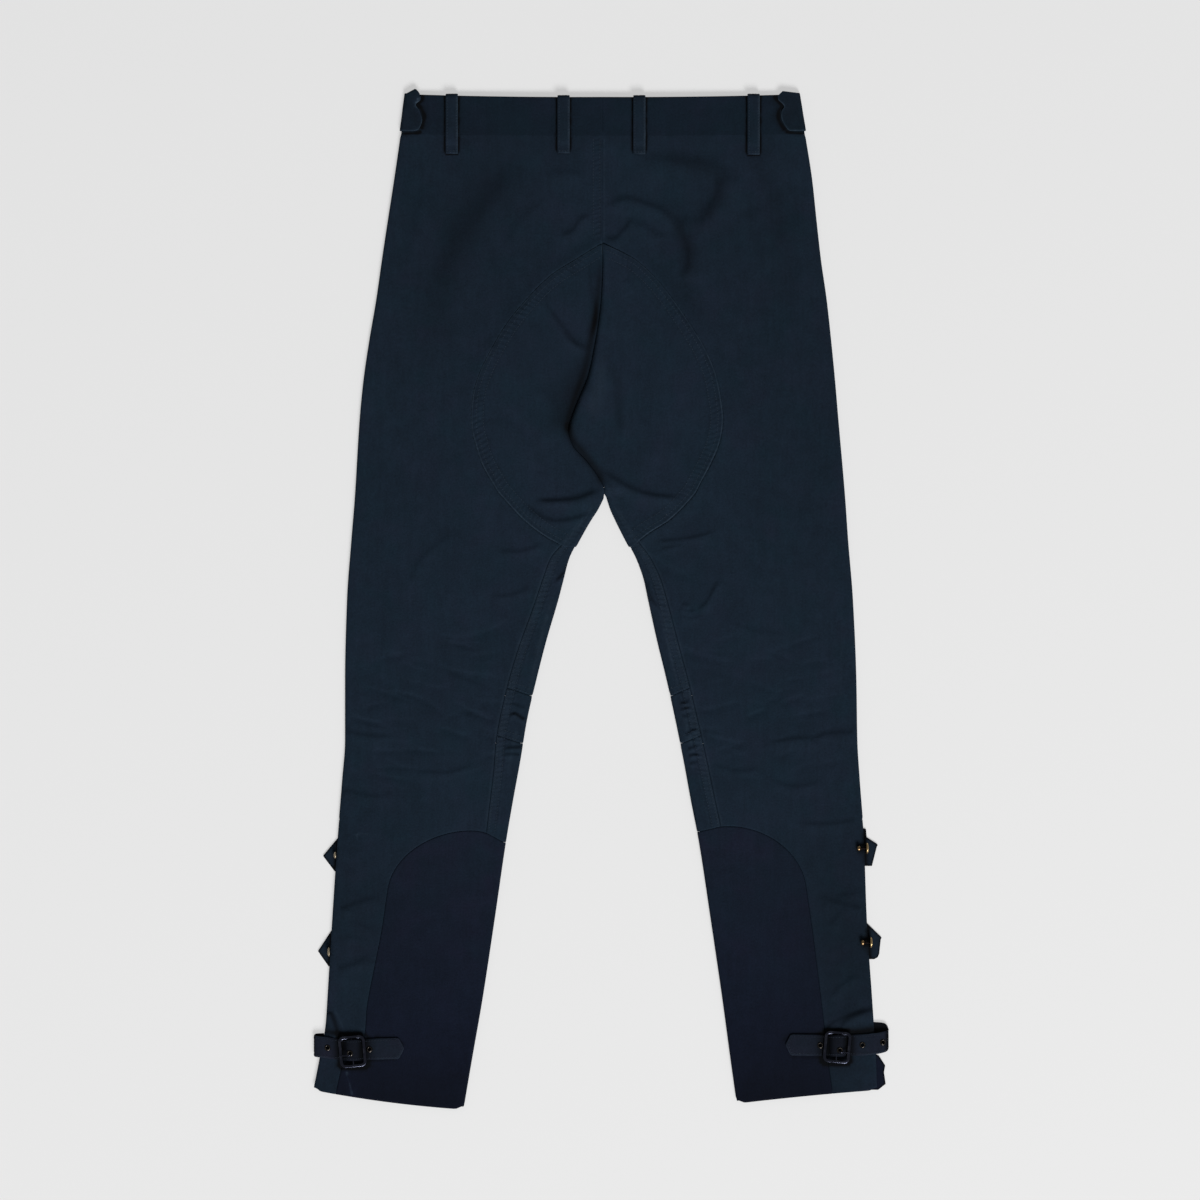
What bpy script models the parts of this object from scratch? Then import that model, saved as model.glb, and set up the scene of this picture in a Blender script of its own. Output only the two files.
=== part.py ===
"""Biker pants in cotton twill, laid flat on their front so that the back faces up.

Axes: +Y runs towards the waist, +X to the wearer's right, +Z up from the surface they lie on.
Sizes are in millimetres and become metres only where a mesh is made.

Each leg is a flattened tube: a front layer on the floor, a back layer over it, and a rolled edge on
each side. A place on it is (along, down, turn): "along" runs from the outer roll to the inner one,
"down" is the distance below the waist edge, and "turn" is 0 on the back layer, half a turn on the
front layer, and between the two round the nearer roll.
"""

import math

import bmesh
import bpy
from mathutils import Matrix, Vector

MM = 0.001
HALF_TURN = math.pi

# Driving sizes.
WAIST_Y = 520.52  # the waist edge at the sides, above the middle of the garment
CLOTH = 1.4  # wall of every sewn panel: shell cloth and its seam allowances
PATCH = 1.2  # wall of the seat patches
GAP = 0.3  # clearance between neighbouring pieces
ROLL = 1.6  # middle radius of a rolled edge
CROWN = 1.4  # how far the back layer stands up between its edges
EDGE = ROLL + CLOTH / 2  # from the outline to where a layer lies flat
BAND = 40.5  # height of the waistband
FRONT_DIP = 18.0  # the front waist is cut lower at its middle
CROTCH = 416.0
PELVIS_END = 400.0  # below this the inner edges start to part
KNEE_TOP, KNEE_BOTTOM = 611.0, 660.0  # inner ends of the knee panel's seams
KNEE_DIP = 8.0  # the knee seams fall this much from the inseam to the edge
VENT = 748.0  # top of the open vent in the outer seam
HEM = 1025.0  # hem at the outer edge
SIDE_UNDER = 6.0  # the back panel turns this far under to the side seam
CALF_FRONT = 40.0  # the calf patch reaches this far on to the front
CALF_FRONT_DROP = 26.0
FOLD_REACH = 42.0  # the seat fold rises over this distance
LOOP_WIDTH, LOOP = 12.5, 1.6  # belt loops
TAB = 1.2  # wall of the side tabs on the waistband
TAB_TOP, TAB_BOTTOM, TAB_REACH = -4.0, 38.0, 18.0
STRAP_WIDTH, STRAP = 21.5, 1.6


def table(columns, *rows):
    """Rows of figures under named columns, kept as one tuple for each column."""
    return dict(zip(columns.split(), zip(*rows)))


OUTLINE = table(
    "down left right",
    (0, -199.5, 205),
    (43, -205, 212),
    (88, -211.5, 219),
    (130, -218, 223.5),
    (170, -224, 228),
    (212, -230, 234),
    (253, -237, 238.5),
    (294, -243, 242.5),
    (335, -247, 246),
    (416, -252, 253),
    (459, -255.5, 256),
    (521, -260, 261),
    (603, -262, 264.5),
    (665, -262, 265.5),
    (706, -265, 268),
    (768, -270, 272.5),
    (850, -275.5, 275.5),
    (932, -280.5, 281),
    (955, -282, 282.5),
    (995, -289, 285),
    (1025, -295, 286),
)
CENTRE_SEAM = table("down across", (0, 3), (150, 3), (416, 5.5))
INNER_EDGE = table(
    "down left right",
    (416, 3, 8.5),
    (428, -3, 12.5),
    (438, -9.5, 17),
    (459, -21.5, 27.5),
    (479, -31.5, 38),
    (500, -37, 45.5),
    (521, -42.5, 50),
    (562, -54.5, 59),
    (603, -65, 69),
    (644, -74.5, 78),
    (686, -81.5, 86.5),
    (727, -89, 94),
    (768, -96, 102),
    (850, -108, 114.5),
    (932, -120.5, 126.5),
    (995, -131.5, 135),
    (1045, -140, 142),
)
# The rows slope from the outer edge to the inner one at the waist and at the hem.
SLOPE = {
    -1: table("down fall bow", (0, 3, 1), (150, 0, 0), (850, 0, 0), (1025, 20, 2.4)),
    1: table("down fall bow", (0, 3, 1), (150, 0, 0), (850, 0, 0), (1025, 14, -1)),
}
# Distance of the inseam from the flat inner end of the back layer.
INSEAM = table(
    "down left right",
    (400, 0, 0),
    (416, 2, 2),
    (438, 6, 5),
    (459, 11, 9),
    (478, 17, 13),
    (537, 22, 18),
    (611, 26, 20),
    (660, 26, 21),
    (700, 23, 22),
    (748, 20, 23),
    (770, 19, 23),
)
# The calf patch: its reach from the inner edge, and the arch of its top seam.
CALF = {
    -1: {"reach": 114.5, "crest_reach": 38.0, "crest": 758.0, "rise": 60.0, "edge": 770.0},
    1: {"reach": 103.0, "crest_reach": 34.0, "crest": 753.5, "rise": 60.0, "edge": 759.0},
}
# Its outer seam leaves that reach lower down, and steps outwards where the left strap gathers it.
CALF_SPREAD = table(
    "down left right",
    (860, 0, 0),
    (932, 2.5, -2),
    (966, -1, -3),
    (977, -1, -3.3),
    (998, 16, -4),
    (1040, 17.5, -4.5),
)
# The two halves of the seat patch, their meeting line, and how far the right half stands up there.
SEAT = table(
    "down left fold right lift",
    (154, 2, 3, 4, 0.8),
    (170, -24, 4, 36, 0.9),
    (186, -49, 3.5, 54.5, 1.2),
    (208, -72, 2.5, 73, 1.6),
    (235, -94.5, -0.5, 92, 2.2),
    (262, -111, -5, 108.5, 2.6),
    (290, -124.5, -11, 120, 3.0),
    (312, -130.5, -20, 124.5, 3.2),
    (334, -132, -28.5, 127, 3.2),
    (346, -131, -31.5, 126, 3.2),
    (360, -127.5, -27.5, 123, 3.0),
    (380, -121, -10.5, 114.5, 2.8),
    (400, -110, 3, 104, 2.2),
    (409, -104.5, 6, 99.5, 2.1),
    (416, -98.5, 3, 94, 2.0),
    (438, -78, 3, 72, 2.0),
    (453, -59, 3, 49, 2.0),
    (466, -36, 3, 33.5, 2.0),
)
BELT_LOOPS = table(
    "number middle bottom", (1, -152, 60), (2, -37, 58), (3, 41, 59), (4, 158.5, 61)
)
# A loop's middle line: from its lower end up to the waist edge, and how far it stands off the band.
LOOP_FOOT = table("above_bottom rise", (0, 0), (8, 0.1), (15, 1.4))
LOOP_HEAD = table("down rise", (24, 1.9), (8, 1.7), (1, 1.2), (-2, -0.2), (-1.9, -2.6))
# The strap's middle line: distance inside the leg's outer edge, and height above the floor.
STRAP_PATH = table(
    "inside height",
    (86, 7.2),
    (70, 7.15),
    (54, 7.0),
    (46, 6.8),
    (42, 7.0),
    (40, 8.6),
    (37, 12.0),
    (33, 12.7),
    (29, 12.0),
    (26, 8.6),
    (24, 7.0),
    (20, 6.4),
    (12, 6.2),
    (4, 6.1),
    (-2, 5.8),
    (-5.6, 4.6),
    (-6.2, 2.9),
    (-4.4, 1.4),
    (-1.2, 1.1),
)
STRAP_DOWN = {-1: 985.0, 1: 980.5}
STRAP_SLACK = {-1: 1.0, 1: 1.75}  # how far the loop past the edge stands off
STRAP_RISE = {-1: 0.0, 1: 7.0}  # the outer end of the right strap rises towards the waist
STRAP_TIP = 9.0
BARREL = 2.0  # outer radius of an eyelet's barrel
EYELETS_INSIDE = {-1: (7.6, 31.0, 50.5), 1: (-7.0, 14.0, 37.8, 57.5)}
PRONG_EYELET = {-1: 1, 1: 2}  # which of them the prong goes through
PRONG_ASIDE = {-1: -3.2, 1: -4.5}  # how far it and its prong lie off the strap's middle line
STRAP_PULLED = {-1: 0.0, 1: 6.8}  # the right strap and its buckle lie further in
BUCKLE_INSIDE = 33.0
BUCKLE_HEIGHT = 9.3
BUCKLE_SIZE = (28.0, 33.0)
BUCKLE_BAR = (3.6, 2.4)  # width and thickness
BUCKLE_CORNER = 6.0
BUCKLE_TWIST = {-1: 5.0, 1: -5.0}  # degrees
CENTRE_BAR, PRONG = 0.9, 0.7  # radii
# The prong past its curl: distance outwards from the centre bar, and height over it.
PRONG_PATH = table(
    "out height", (1.9, 2.4), (1.9, 4.6), (2.6, 6.0), (4.4, 6.4), (7.5, 5.4), (10.5, 3.4), (13, 2.5)
)
KEEPER, KEEPER_WIDTH = 1.0, 15.0
KEEPER_FOOT = table("out height", (7, -2.85), (4, -2.85), (2.2, -1.8))
VENT_TABS = table(
    "side place top tip_down tip_out foot foot_out",
    (-1, "upper", 766, 784, 13.5, 800, 0.5),
    (-1, "lower", 861, 882, 12.5, 898, 0.5),
    (1, "upper", 755.5, 773, 13.8, 794.5, 7),
    (1, "lower", 853.5, 868.5, 14, 890, 9.5),
)
VENT_BUTTONS = table(
    "side place down size",
    (-1, "upper", 783, 0.7),
    (-1, "lower", 882.5, 1.0),
    (1, "upper", 776, 1.0),
    (1, "lower", 873, 1.0),
)
# A button about its own axis. The left ones show a low dome; the right ones show a base on the
# leg, a shank, and the hollow back of the head.
BUTTON = {
    -1: table(
        "radius height",
        (0, -1.5),
        (1.2, -1.5),
        (1.2, -0.9),
        (4.9, -0.9),
        (5, -0.2),
        (4.4, 0.7),
        (2.8, 1.4),
        (0, 1.7),
    ),
    1: table(
        "radius height",
        (0, -10.4),
        (1.9, -10.2),
        (2.8, -9.4),
        (2.8, -7.7),
        (1.2, -6.9),
        (1.2, -0.3),
        (4.3, -0.3),
        (4.7, -1.3),
        (5.5, -1.2),
        (5.8, 0.3),
        (4.6, 1.0),
        (0, 1.2),
    ),
}
BUTTON_OUT = {-1: 1.3, 1: 2.3}  # the head's place past the edge
BUTTON_HEIGHT = {-1: 6.6, 1: 7.4}  # and above the floor
BUTTON_TILT = {-1: 3.0, 1: -6.0}  # degrees
TAB_POINT = 1.5  # half the blunt end of a vent tab
UNDERLAP_TOP = 975.0
# Past the ankle strap the right underlap shows outside the edge.
UNDERLAP_EDGE = {
    -1: ((2.5, 975), (2.5, 1020)),
    1: ((2.5, 975), (2, 987), (-3, 990), (-9, 1000), (-7.5, 1007), (-8.9, 1019), (-1, 1025)),
}

ROWS = {
    "waist": (0, 21.5, BAND - GAP),
    "pelvis": (BAND, 80, 117, 154, 186, 208, 235, 262, 290, 312, 334, 346, 360, 380, 400, 416),
    "thigh": (416, 438, 453, 466, 500, 537, 574, KNEE_TOP),
    "knee": (KNEE_TOP, 635, KNEE_BOTTOM),
    "upper_shin": (KNEE_BOTTOM, 690, 720, VENT),
    "lower_shin": (778, 800, 824, 850, 890, 932, 965, 995, HEM),
}


def read(sheet, column, down):
    """A column's value at a height, on a smooth curve through its rows that never overshoots."""
    heights, values = sheet["down"], sheet[column]
    if down <= heights[0]:
        return values[0]
    if down >= heights[-1]:
        return values[-1]
    last = len(heights) - 1
    row = next(i for i in range(last) if heights[i + 1] >= down)
    steps = [
        (values[i + 1] - values[i]) / (heights[i + 1] - heights[i])
        for i in range(max(row - 1, 0), min(row + 2, last))
    ]
    here = steps[1] if row > 0 else steps[0]

    def slope(before, after):
        return 0.0 if before * after <= 0 else 2 * before * after / (before + after)

    start = slope(steps[0], here) if row > 0 else here
    end = slope(here, steps[-1]) if row + 1 < last else here
    span = heights[row + 1] - heights[row]
    t = (down - heights[row]) / span
    return (
        values[row] * (1 + 2 * t) * (1 - t) ** 2
        + values[row + 1] * t * t * (3 - 2 * t)
        + span * (start * t * (1 - t) ** 2 - end * t * t * (1 - t))
    )


def ease(value, low, high):
    """0 below low, 1 above high, and a smooth step between them."""
    t = min(max((value - low) / (high - low), 0.0), 1.0)
    return t * t * (3 - 2 * t)


def spread(start, end, cells):
    return [start + (end - start) * i / cells for i in range(cells + 1)]


class Leg:
    """One half of the garment: side is -1 on the left and 1 on the right."""

    def __init__(self, side):
        self.side = side
        self.name = "left" if side < 0 else "right"
        self.calf = CALF[side]

    def outer(self, down):
        return read(OUTLINE, self.name, down)

    def inner(self, down):
        if down < CROTCH:
            return read(CENTRE_SEAM, "across", down)
        return read(INNER_EDGE, self.name, down)

    def girth(self, down):
        """Outer edge to inner edge along a row."""
        fall = read(SLOPE[self.side], "fall", down)
        return abs(self.inner(down + fall) - self.outer(down))

    def flat(self, down):
        """The flat stretch of a row: the legs roll at both edges, the pelvis only at the side."""
        return self.girth(down) - EDGE - EDGE * ease(down, PELVIS_END, CROTCH)

    def along(self, across, down):
        """The place on a row of a point that lies at X = across."""
        return abs(across - self.outer(down)) - EDGE

    def seam(self, down):
        """Where the back panel meets the centre seam or, on the leg, the inseam."""
        return self.flat(down) - read(INSEAM, self.name, down)

    def crown(self, along, down):
        share = along / self.flat(down)
        pelvis = share * (2 - share)
        leg = 4 * share * (1 - share)
        on_leg = ease(down, 360, 440)
        return CROWN * max(pelvis * (1 - on_leg) + leg * on_leg, 0.0)

    def point(self, inside, down, height):
        """A point at a distance inside the outer edge, a distance down, and a height."""
        slope = SLOPE[self.side]
        share = min(max(inside / self.girth(down), 0.0), 1.0)
        drop = read(slope, "fall", down) * share + read(slope, "bow", down) * 4 * share * (1 - share)
        return Vector((self.outer(down) - self.side * inside, WAIST_Y - down - drop, height))

    def place(self, along, down, turn):
        """Middle of the wall, and the direction out of it."""
        edge = -1 if along < self.flat(down) / 2 else 1
        on_back = (1 + math.cos(turn)) / 2
        height = CLOTH / 2 + (2 * ROLL + self.crown(along, down)) * on_back
        inside = EDGE + along + edge * ROLL * math.sin(turn)
        normal = Vector((-self.side * edge * math.sin(turn), 0, math.cos(turn)))
        return self.point(inside, down, height), normal


LEGS = (Leg(-1), Leg(1))


# Materials.


def material(name, colour, roughness, metallic=0.0):
    made = bpy.data.materials.new(name)
    made.use_nodes = True
    shader = made.node_tree.nodes["Principled BSDF"]
    shader.inputs["Base Color"].default_value = (*colour, 1)
    shader.inputs["Roughness"].default_value = roughness
    shader.inputs["Metallic"].default_value = metallic
    made.diffuse_color = (*colour, 1)
    return made


# Solids.


def finish(name, mesh, surface, root, smooth=40):
    """Makes the object of a finished bmesh, with its faces pointing out."""
    bmesh.ops.recalc_face_normals(mesh, faces=mesh.faces)
    data = bpy.data.meshes.new(name)
    mesh.to_mesh(data)
    mesh.free()
    data.materials.append(surface)
    data.shade_smooth()
    data.set_sharp_from_angle(angle=math.radians(smooth))
    made = bpy.data.objects.new(name, data)
    bpy.context.scene.collection.objects.link(made)
    made.parent = root
    return made


def sheet(name, grids, place, wall, lift, surface, root):
    """A closed wall of even thickness over grids of places, which join where their places agree."""
    mesh = bmesh.new()
    corners = {}

    def corner(spot):
        key = tuple(round(value, 3) for value in spot)
        if key not in corners:
            middle, normal = place(*spot)
            corners[key] = [
                mesh.verts.new((middle + normal * (lift + offset)) * MM)
                for offset in (wall / 2, -wall / 2)
            ]
        return key

    sides = []
    for grid in grids:
        for upper, lower in zip(grid, grid[1:]):
            for i in range(len(upper) - 1):
                ring = [corner(spot) for spot in (upper[i], upper[i + 1], lower[i + 1], lower[i])]
                ring = list(dict.fromkeys(ring))
                mesh.faces.new([corners[key][0] for key in ring])
                mesh.faces.new([corners[key][1] for key in reversed(ring)])
                sides += zip(ring, ring[1:] + ring[:1])
    inside = {(end, start) for start, end in sides}
    for start, end in sides:
        if (start, end) not in inside:
            ring = (corners[end][0], corners[start][0], corners[start][1], corners[end][1])
            mesh.faces.new(ring)
    return finish(name, mesh, surface, root)


def ribbon(name, stations, thickness, surface, root):
    """A flat strip along stations of (middle, half its width as a vector)."""
    mesh = bmesh.new()
    rings = []
    for i, (middle, half) in enumerate(stations):
        before = stations[max(i - 1, 0)][0]
        after = stations[min(i + 1, len(stations) - 1)][0]
        out = (after - before).cross(half).normalized() * (thickness / 2)
        ends = (middle - half - out, middle + half - out, middle + half + out, middle - half + out)
        rings.append([mesh.verts.new(end * MM) for end in ends])
    for ring, following in zip(rings, rings[1:]):
        for j in range(4):
            mesh.faces.new((ring[j], ring[(j + 1) % 4], following[(j + 1) % 4], following[j]))
    mesh.faces.new(reversed(rings[0]))
    mesh.faces.new(rings[-1])
    return finish(name, mesh, surface, root)


def plate(name, outline, low, high, surface, root):
    """A flat plate from a list of points round its edge."""
    mesh = bmesh.new()
    base = [mesh.verts.new(Vector((x, y, low)) * MM) for x, y in outline]
    face = mesh.faces.new(base)
    raised = bmesh.ops.extrude_face_region(mesh, geom=[face])["geom"]
    for vertex in (item for item in raised if isinstance(item, bmesh.types.BMVert)):
        vertex.co.z = high * MM
    return finish(name, mesh, surface, root)


def turned(name, profile, segments, surface, root):
    """A profile of (radius, height) points turned about Z. A profile off the axis closes on itself."""
    mesh = bmesh.new()
    closed = min(radius for radius, _ in profile) > 0
    rings = []
    for radius, height in profile:
        if radius == 0:
            rings.append([mesh.verts.new((0, 0, height * MM))] * segments)
            continue
        angles = [2 * math.pi * k / segments for k in range(segments)]
        rings.append(
            [
                mesh.verts.new(Vector((radius * math.cos(a), radius * math.sin(a), height)) * MM)
                for a in angles
            ]
        )
    pairs = list(zip(rings, rings[1:])) + ([(rings[-1], rings[0])] if closed else [])
    for low, high in pairs:
        for k in range(segments):
            after = (k + 1) % segments
            ring = dict.fromkeys((low[k], low[after], high[after], high[k]))
            mesh.faces.new(list(ring))
    return finish(name, mesh, surface, root)


def curve_through(points, step):
    """Points at an even step along a smooth curve through the given ones."""
    ends = [2 * points[0] - points[1], *points, 2 * points[-1] - points[-2]]
    fine = []
    for p, q, r, s in zip(ends, ends[1:], ends[2:], ends[3:]):
        for k in range(8):
            t = k / 8
            bend = 2 * p - 5 * q + 4 * r - s
            twist = 3 * q - p - 3 * r + s
            fine.append(q + ((r - p) * t + bend * t * t + twist * t**3) / 2)
    fine.append(points[-1])
    picked = [fine[0]]
    for point in fine[1:-1]:
        if (point - picked[-1]).length >= step:
            picked.append(point)
    if (fine[-1] - picked[-1]).length < step / 2:
        picked.pop()
    return [*picked, fine[-1]]


def cut(target, cutter, operation="DIFFERENCE"):
    """Cuts one solid with another, or joins it on, and leaves the other out of the model."""
    cutter.hide_render = True
    cutter.display_type = "WIRE"
    modifier = target.modifiers.new(cutter.name, "BOOLEAN")
    modifier.operation = operation
    modifier.object = cutter


# Panels.


def back_panel(leg, surface, root):
    """From the waistband to the hem. The calf patch is let into its lower inner part."""
    roll_under = [(0, HALF_TURN * k / 4) for k in (4, 3, 2, 1)]
    roll_vent = [(0, HALF_TURN * k / 4) for k in (2, 1)]

    def row(down, split, end_places, wrap):
        places = [(along, down, turn) for along, turn in wrap]
        places += [(along, down, 0) for along in spread(0, split, 3)]
        return places + end_places

    def split_at(down):
        """The column that runs down to the calf patch's outer seam."""
        share = 1 - (arch_point(leg, 1, GAP / 2)[0] - EDGE) / leg.flat(arch_point(leg, 1, 0)[1])
        return share * leg.flat(down)

    under = [(SIDE_UNDER, HALF_TURN)] + roll_under
    grids = [[], [], []]
    for down in ROWS["pelvis"] + ROWS["thigh"][1:] + ROWS["knee"][1:] + ROWS["upper_shin"][1:]:
        split, seam = split_at(down), leg.seam(down) - GAP / 2
        inner = [(along, down, 0) for along in spread(split, seam, 4)[1:]]
        grids[0].append(row(down, split, inner, under))
    first = ROWS["lower_shin"][0]
    arch = calf_top(leg, GAP / 2)
    corner = arch[0]
    grids[1] = [
        [place for place in grids[0][-1] if place[2] <= HALF_TURN / 2 + 0.01],
        row(first, corner[0], [(along, down, 0) for along, down in arch[1:5]], roll_vent),
    ]
    grids[1][1][len(roll_vent) + 3] = (corner[0], corner[1], 0)
    grids[2].append(grids[1][1][: len(roll_vent) + 4])
    for down in ROWS["lower_shin"][1:]:
        grids[2].append(row(down, calf_side(leg, down, GAP / 2), [], roll_vent))
    sheet(f"back_{leg.name}", grids, leg.place, CLOTH, 0, surface, root)


def arch_point(leg, share, gap):
    """A point of the calf seam's arch, as its distance from the inner edge and its distance down.

    The share runs from 0 at the arch's outer foot to 2 at its crest.
    """
    calf = leg.calf
    angle = share * math.pi / 4
    wide = calf["reach"] - calf["crest_reach"]
    reach = calf["crest_reach"] + (wide + gap) * math.cos(angle)
    down = calf["crest"] + calf["rise"] - (calf["rise"] + gap) * math.sin(angle)
    return reach, down


def calf_top(leg, gap):
    """The top seam from the arch's shoulder to the inner edge, as (along, down)."""
    calf = leg.calf
    places = []
    for share in (1.0, 1.3, 1.6, 2.0):
        reach, down = arch_point(leg, share, gap)
        places.append((leg.flat(down) + EDGE - reach, down))
    seam = leg.flat(calf["crest"]) - read(INSEAM, leg.name, calf["crest"]) - GAP / 2
    places.append((seam, calf_crest(leg, seam) - gap))
    return places


def calf_crest(leg, along):
    """Height of the top seam between its crest and the inner edge."""
    calf = leg.calf
    reach = leg.flat(calf["crest"]) + EDGE - along
    share = min(max(1 - (reach - EDGE) / (calf["crest_reach"] - EDGE), 0.0), 1.0)
    return calf["crest"] + (calf["edge"] - calf["crest"]) * share**2


def calf_side(leg, down, gap):
    """The outer seam of the calf patch on the back layer."""
    calf = leg.calf
    above = max(calf["crest"] + calf["rise"] - down, 0.0) / calf["rise"]
    wide = (calf["reach"] - calf["crest_reach"]) * math.sqrt(1 - above * above)
    spread = read(CALF_SPREAD, leg.name, down)
    return leg.flat(down) + EDGE - (calf["crest_reach"] + wide + spread + gap)


def calf_patch(leg, surface, root):
    calf = leg.calf
    top = [(along, down, 0) for along, down in calf_top(leg, -GAP / 2)[:4]]
    crest_end = leg.flat(calf["edge"])
    seam = calf_top(leg, 0)[4][0] + GAP
    top.append((seam, calf_crest(leg, seam) + GAP / 2, 0))
    top.append((crest_end, calf["edge"] + GAP / 2, 0))
    top += [(crest_end, calf["edge"] + GAP / 2, HALF_TURN * k / 4) for k in (1, 2, 3, 4)]
    corner = calf["edge"] + CALF_FRONT_DROP + GAP / 2
    top.append((leg.flat(corner) - CALF_FRONT + GAP / 2, corner, HALF_TURN))
    grid = [top]
    for down in ROWS["lower_shin"][1:]:
        share = (down - ROWS["lower_shin"][0]) / (HEM - ROWS["lower_shin"][0])
        row = []
        for column, (along, start, turn) in enumerate(top):
            here = start + (HEM - start) * share
            if column == 0:
                row.append((calf_side(leg, down, -GAP / 2), down, 0))
                continue
            first, flat = leg.flat(start), leg.flat(here)
            row.append((flat - (first - along), here, turn))
        grid.append(row)
    sheet(f"calf_patch_{leg.name}", [grid], leg.place, CLOTH, 0, surface, root)


def front_panels(leg, surface, root):
    """Thigh, knee and shin. Their inner edges turn round on to the back as far as the inseam."""

    def floor(down, cut_at, cells=2):
        """The part on the floor, from the side seam towards the inner edge."""
        return [(along, down, HALF_TURN) for along in spread(SIDE_UNDER + GAP, cut_at, cells)]

    def full(down, shift=0.0):
        """A whole row: on the floor, round the roll and on to the back."""
        low = down + (KNEE_DIP if shift else 0)
        flat = leg.flat(low)
        row = floor(low, flat - CALF_FRONT) + [(flat, low, HALF_TURN)]
        row += [(flat, low, HALF_TURN * k / 4) for k in (3, 2, 1, 0)]
        row.append((leg.seam(down) + GAP / 2, down, 0))
        if shift:
            row = [(along, at + shift, turn) for along, at, turn in row]
        return row

    pelvis = []
    for down in ROWS["pelvis"]:
        flat = leg.flat(down)
        end = flat if down == CROTCH else flat - GAP / 2
        row = floor(down, flat - CALF_FRONT) + [(end, down, HALF_TURN)]
        if down == BAND:
            row = [(along, down + front_dip(leg, along, down), turn) for along, down, turn in row]
        pelvis.append(row)
    thigh = [full(down) for down in ROWS["thigh"][:-1]] + [full(KNEE_TOP, -GAP / 2)]
    place = leg.place
    sheet(f"front_thigh_{leg.name}", [pelvis, thigh], place, CLOTH, 0, surface, root)
    knee = [full(down, GAP / 2) for down in ROWS["knee"][:-1]] + [full(KNEE_BOTTOM, -GAP / 2)]
    sheet(f"front_knee_{leg.name}", [knee], place, CLOTH, 0, surface, root)

    shin = [full(KNEE_BOTTOM, GAP / 2)] + [full(down) for down in ROWS["upper_shin"][1:-1]]
    edge = leg.calf["edge"] - GAP / 2
    corner = edge + CALF_FRONT_DROP
    flat, end = leg.flat(corner), leg.flat(edge)
    last = floor(corner, flat - CALF_FRONT - GAP / 2) + [(end, edge, HALF_TURN)]
    last += [(end, edge, HALF_TURN * k / 4) for k in (3, 2, 1, 0)]
    seam = calf_top(leg, 0)[4][0] + GAP
    last.append((seam, calf_crest(leg, seam) - GAP / 2, 0))
    shin.append(last)
    cuff = [last[:3]]
    for down in ROWS["lower_shin"][2:]:
        share = (down - ROWS["lower_shin"][0]) / (HEM - ROWS["lower_shin"][0])
        here = corner + (HEM - corner) * share
        cuff.append(floor(here, leg.flat(here) - CALF_FRONT - GAP / 2))
    sheet(f"front_shin_{leg.name}", [shin, cuff], place, CLOTH, 0, surface, root)


def front_dip(leg, along, down):
    return FRONT_DIP * ease(along / leg.flat(down), 0, 1)


def waistbands(leg, surface, root):
    back, front = [], []
    for down in ROWS["waist"]:
        end = leg.flat(down) - GAP / 2
        wrap = [(SIDE_UNDER, down, HALF_TURN)]
        wrap += [(0, down, HALF_TURN * k / 4) for k in (4, 3, 2, 1)]
        back.append(wrap + [(along, down, 0) for along in spread(0, end, 6)])
        floor = [*spread(SIDE_UNDER + GAP, leg.flat(down) - CALF_FRONT, 2), end]
        front.append([(along, down + front_dip(leg, along, down), HALF_TURN) for along in floor])
    sheet(f"waistband_back_{leg.name}", [back], leg.place, CLOTH, 0, surface, root)
    sheet(f"waistband_front_{leg.name}", [front], leg.place, CLOTH, 0, surface, root)


def seat_patch(leg, surface, root):
    """Half of the seat patch. The right half ends in a soft fold whose nose meets the left half."""
    level = CLOTH / 2 + GAP + PATCH / 2
    wrap = ROLL + level  # radius of the turn over the leg's inner edge

    def nose(down):
        """Radius of the turned nose, and how far it stands above the patch."""
        if down >= CROTCH:
            return wrap, 0.0
        lift = read(SEAT, "lift", down) if leg.side > 0 else 0.0
        return lift, lift

    def start(down):
        """Where the nose begins."""
        if down >= CROTCH:
            return leg.flat(down)
        fold = leg.along(read(SEAT, "fold", down), down)
        if leg.side < 0:
            return fold - GAP - PATCH / 2
        return fold - nose(down)[0]

    def place(along, down, turn):
        radius, lift = nose(down)
        begin = start(down)
        middle, _ = leg.place(min(along, 2 * leg.flat(down)), down, 0)
        rise = lift * ease(along, begin - FOLD_REACH, begin)
        out = -leg.side * radius * math.sin(turn)
        middle += Vector((out, 0, level + rise - radius * (1 - math.cos(turn))))
        return middle, Vector((-leg.side * math.sin(turn), 0, math.cos(turn)))

    flat_grid, nose_grid = [], []
    shares = (0, 0.3, 0.55, 0.75, 0.88, 1)
    for down in SEAT["down"]:
        begin = start(down)
        outer = leg.along(read(SEAT, leg.name, down), down)
        row = [(outer + (begin - outer) * share, down, 0) for share in shares]
        turns = [(begin, down, HALF_TURN * k / 6) for k in range(4)]
        if leg.side > 0 or down >= CROTCH:
            nose_grid.append(turns)
        flat_grid.append(row)
    sheet(f"seat_patch_{leg.name}", [flat_grid, nose_grid], place, PATCH, 0, surface, root)


# Trims.


def back_top(leg, inside, down):
    """Height of the back layer's outer face."""
    middle, _ = leg.place(max(inside - EDGE, 0.0), down, 0)
    return middle.z + CLOTH / 2


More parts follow.
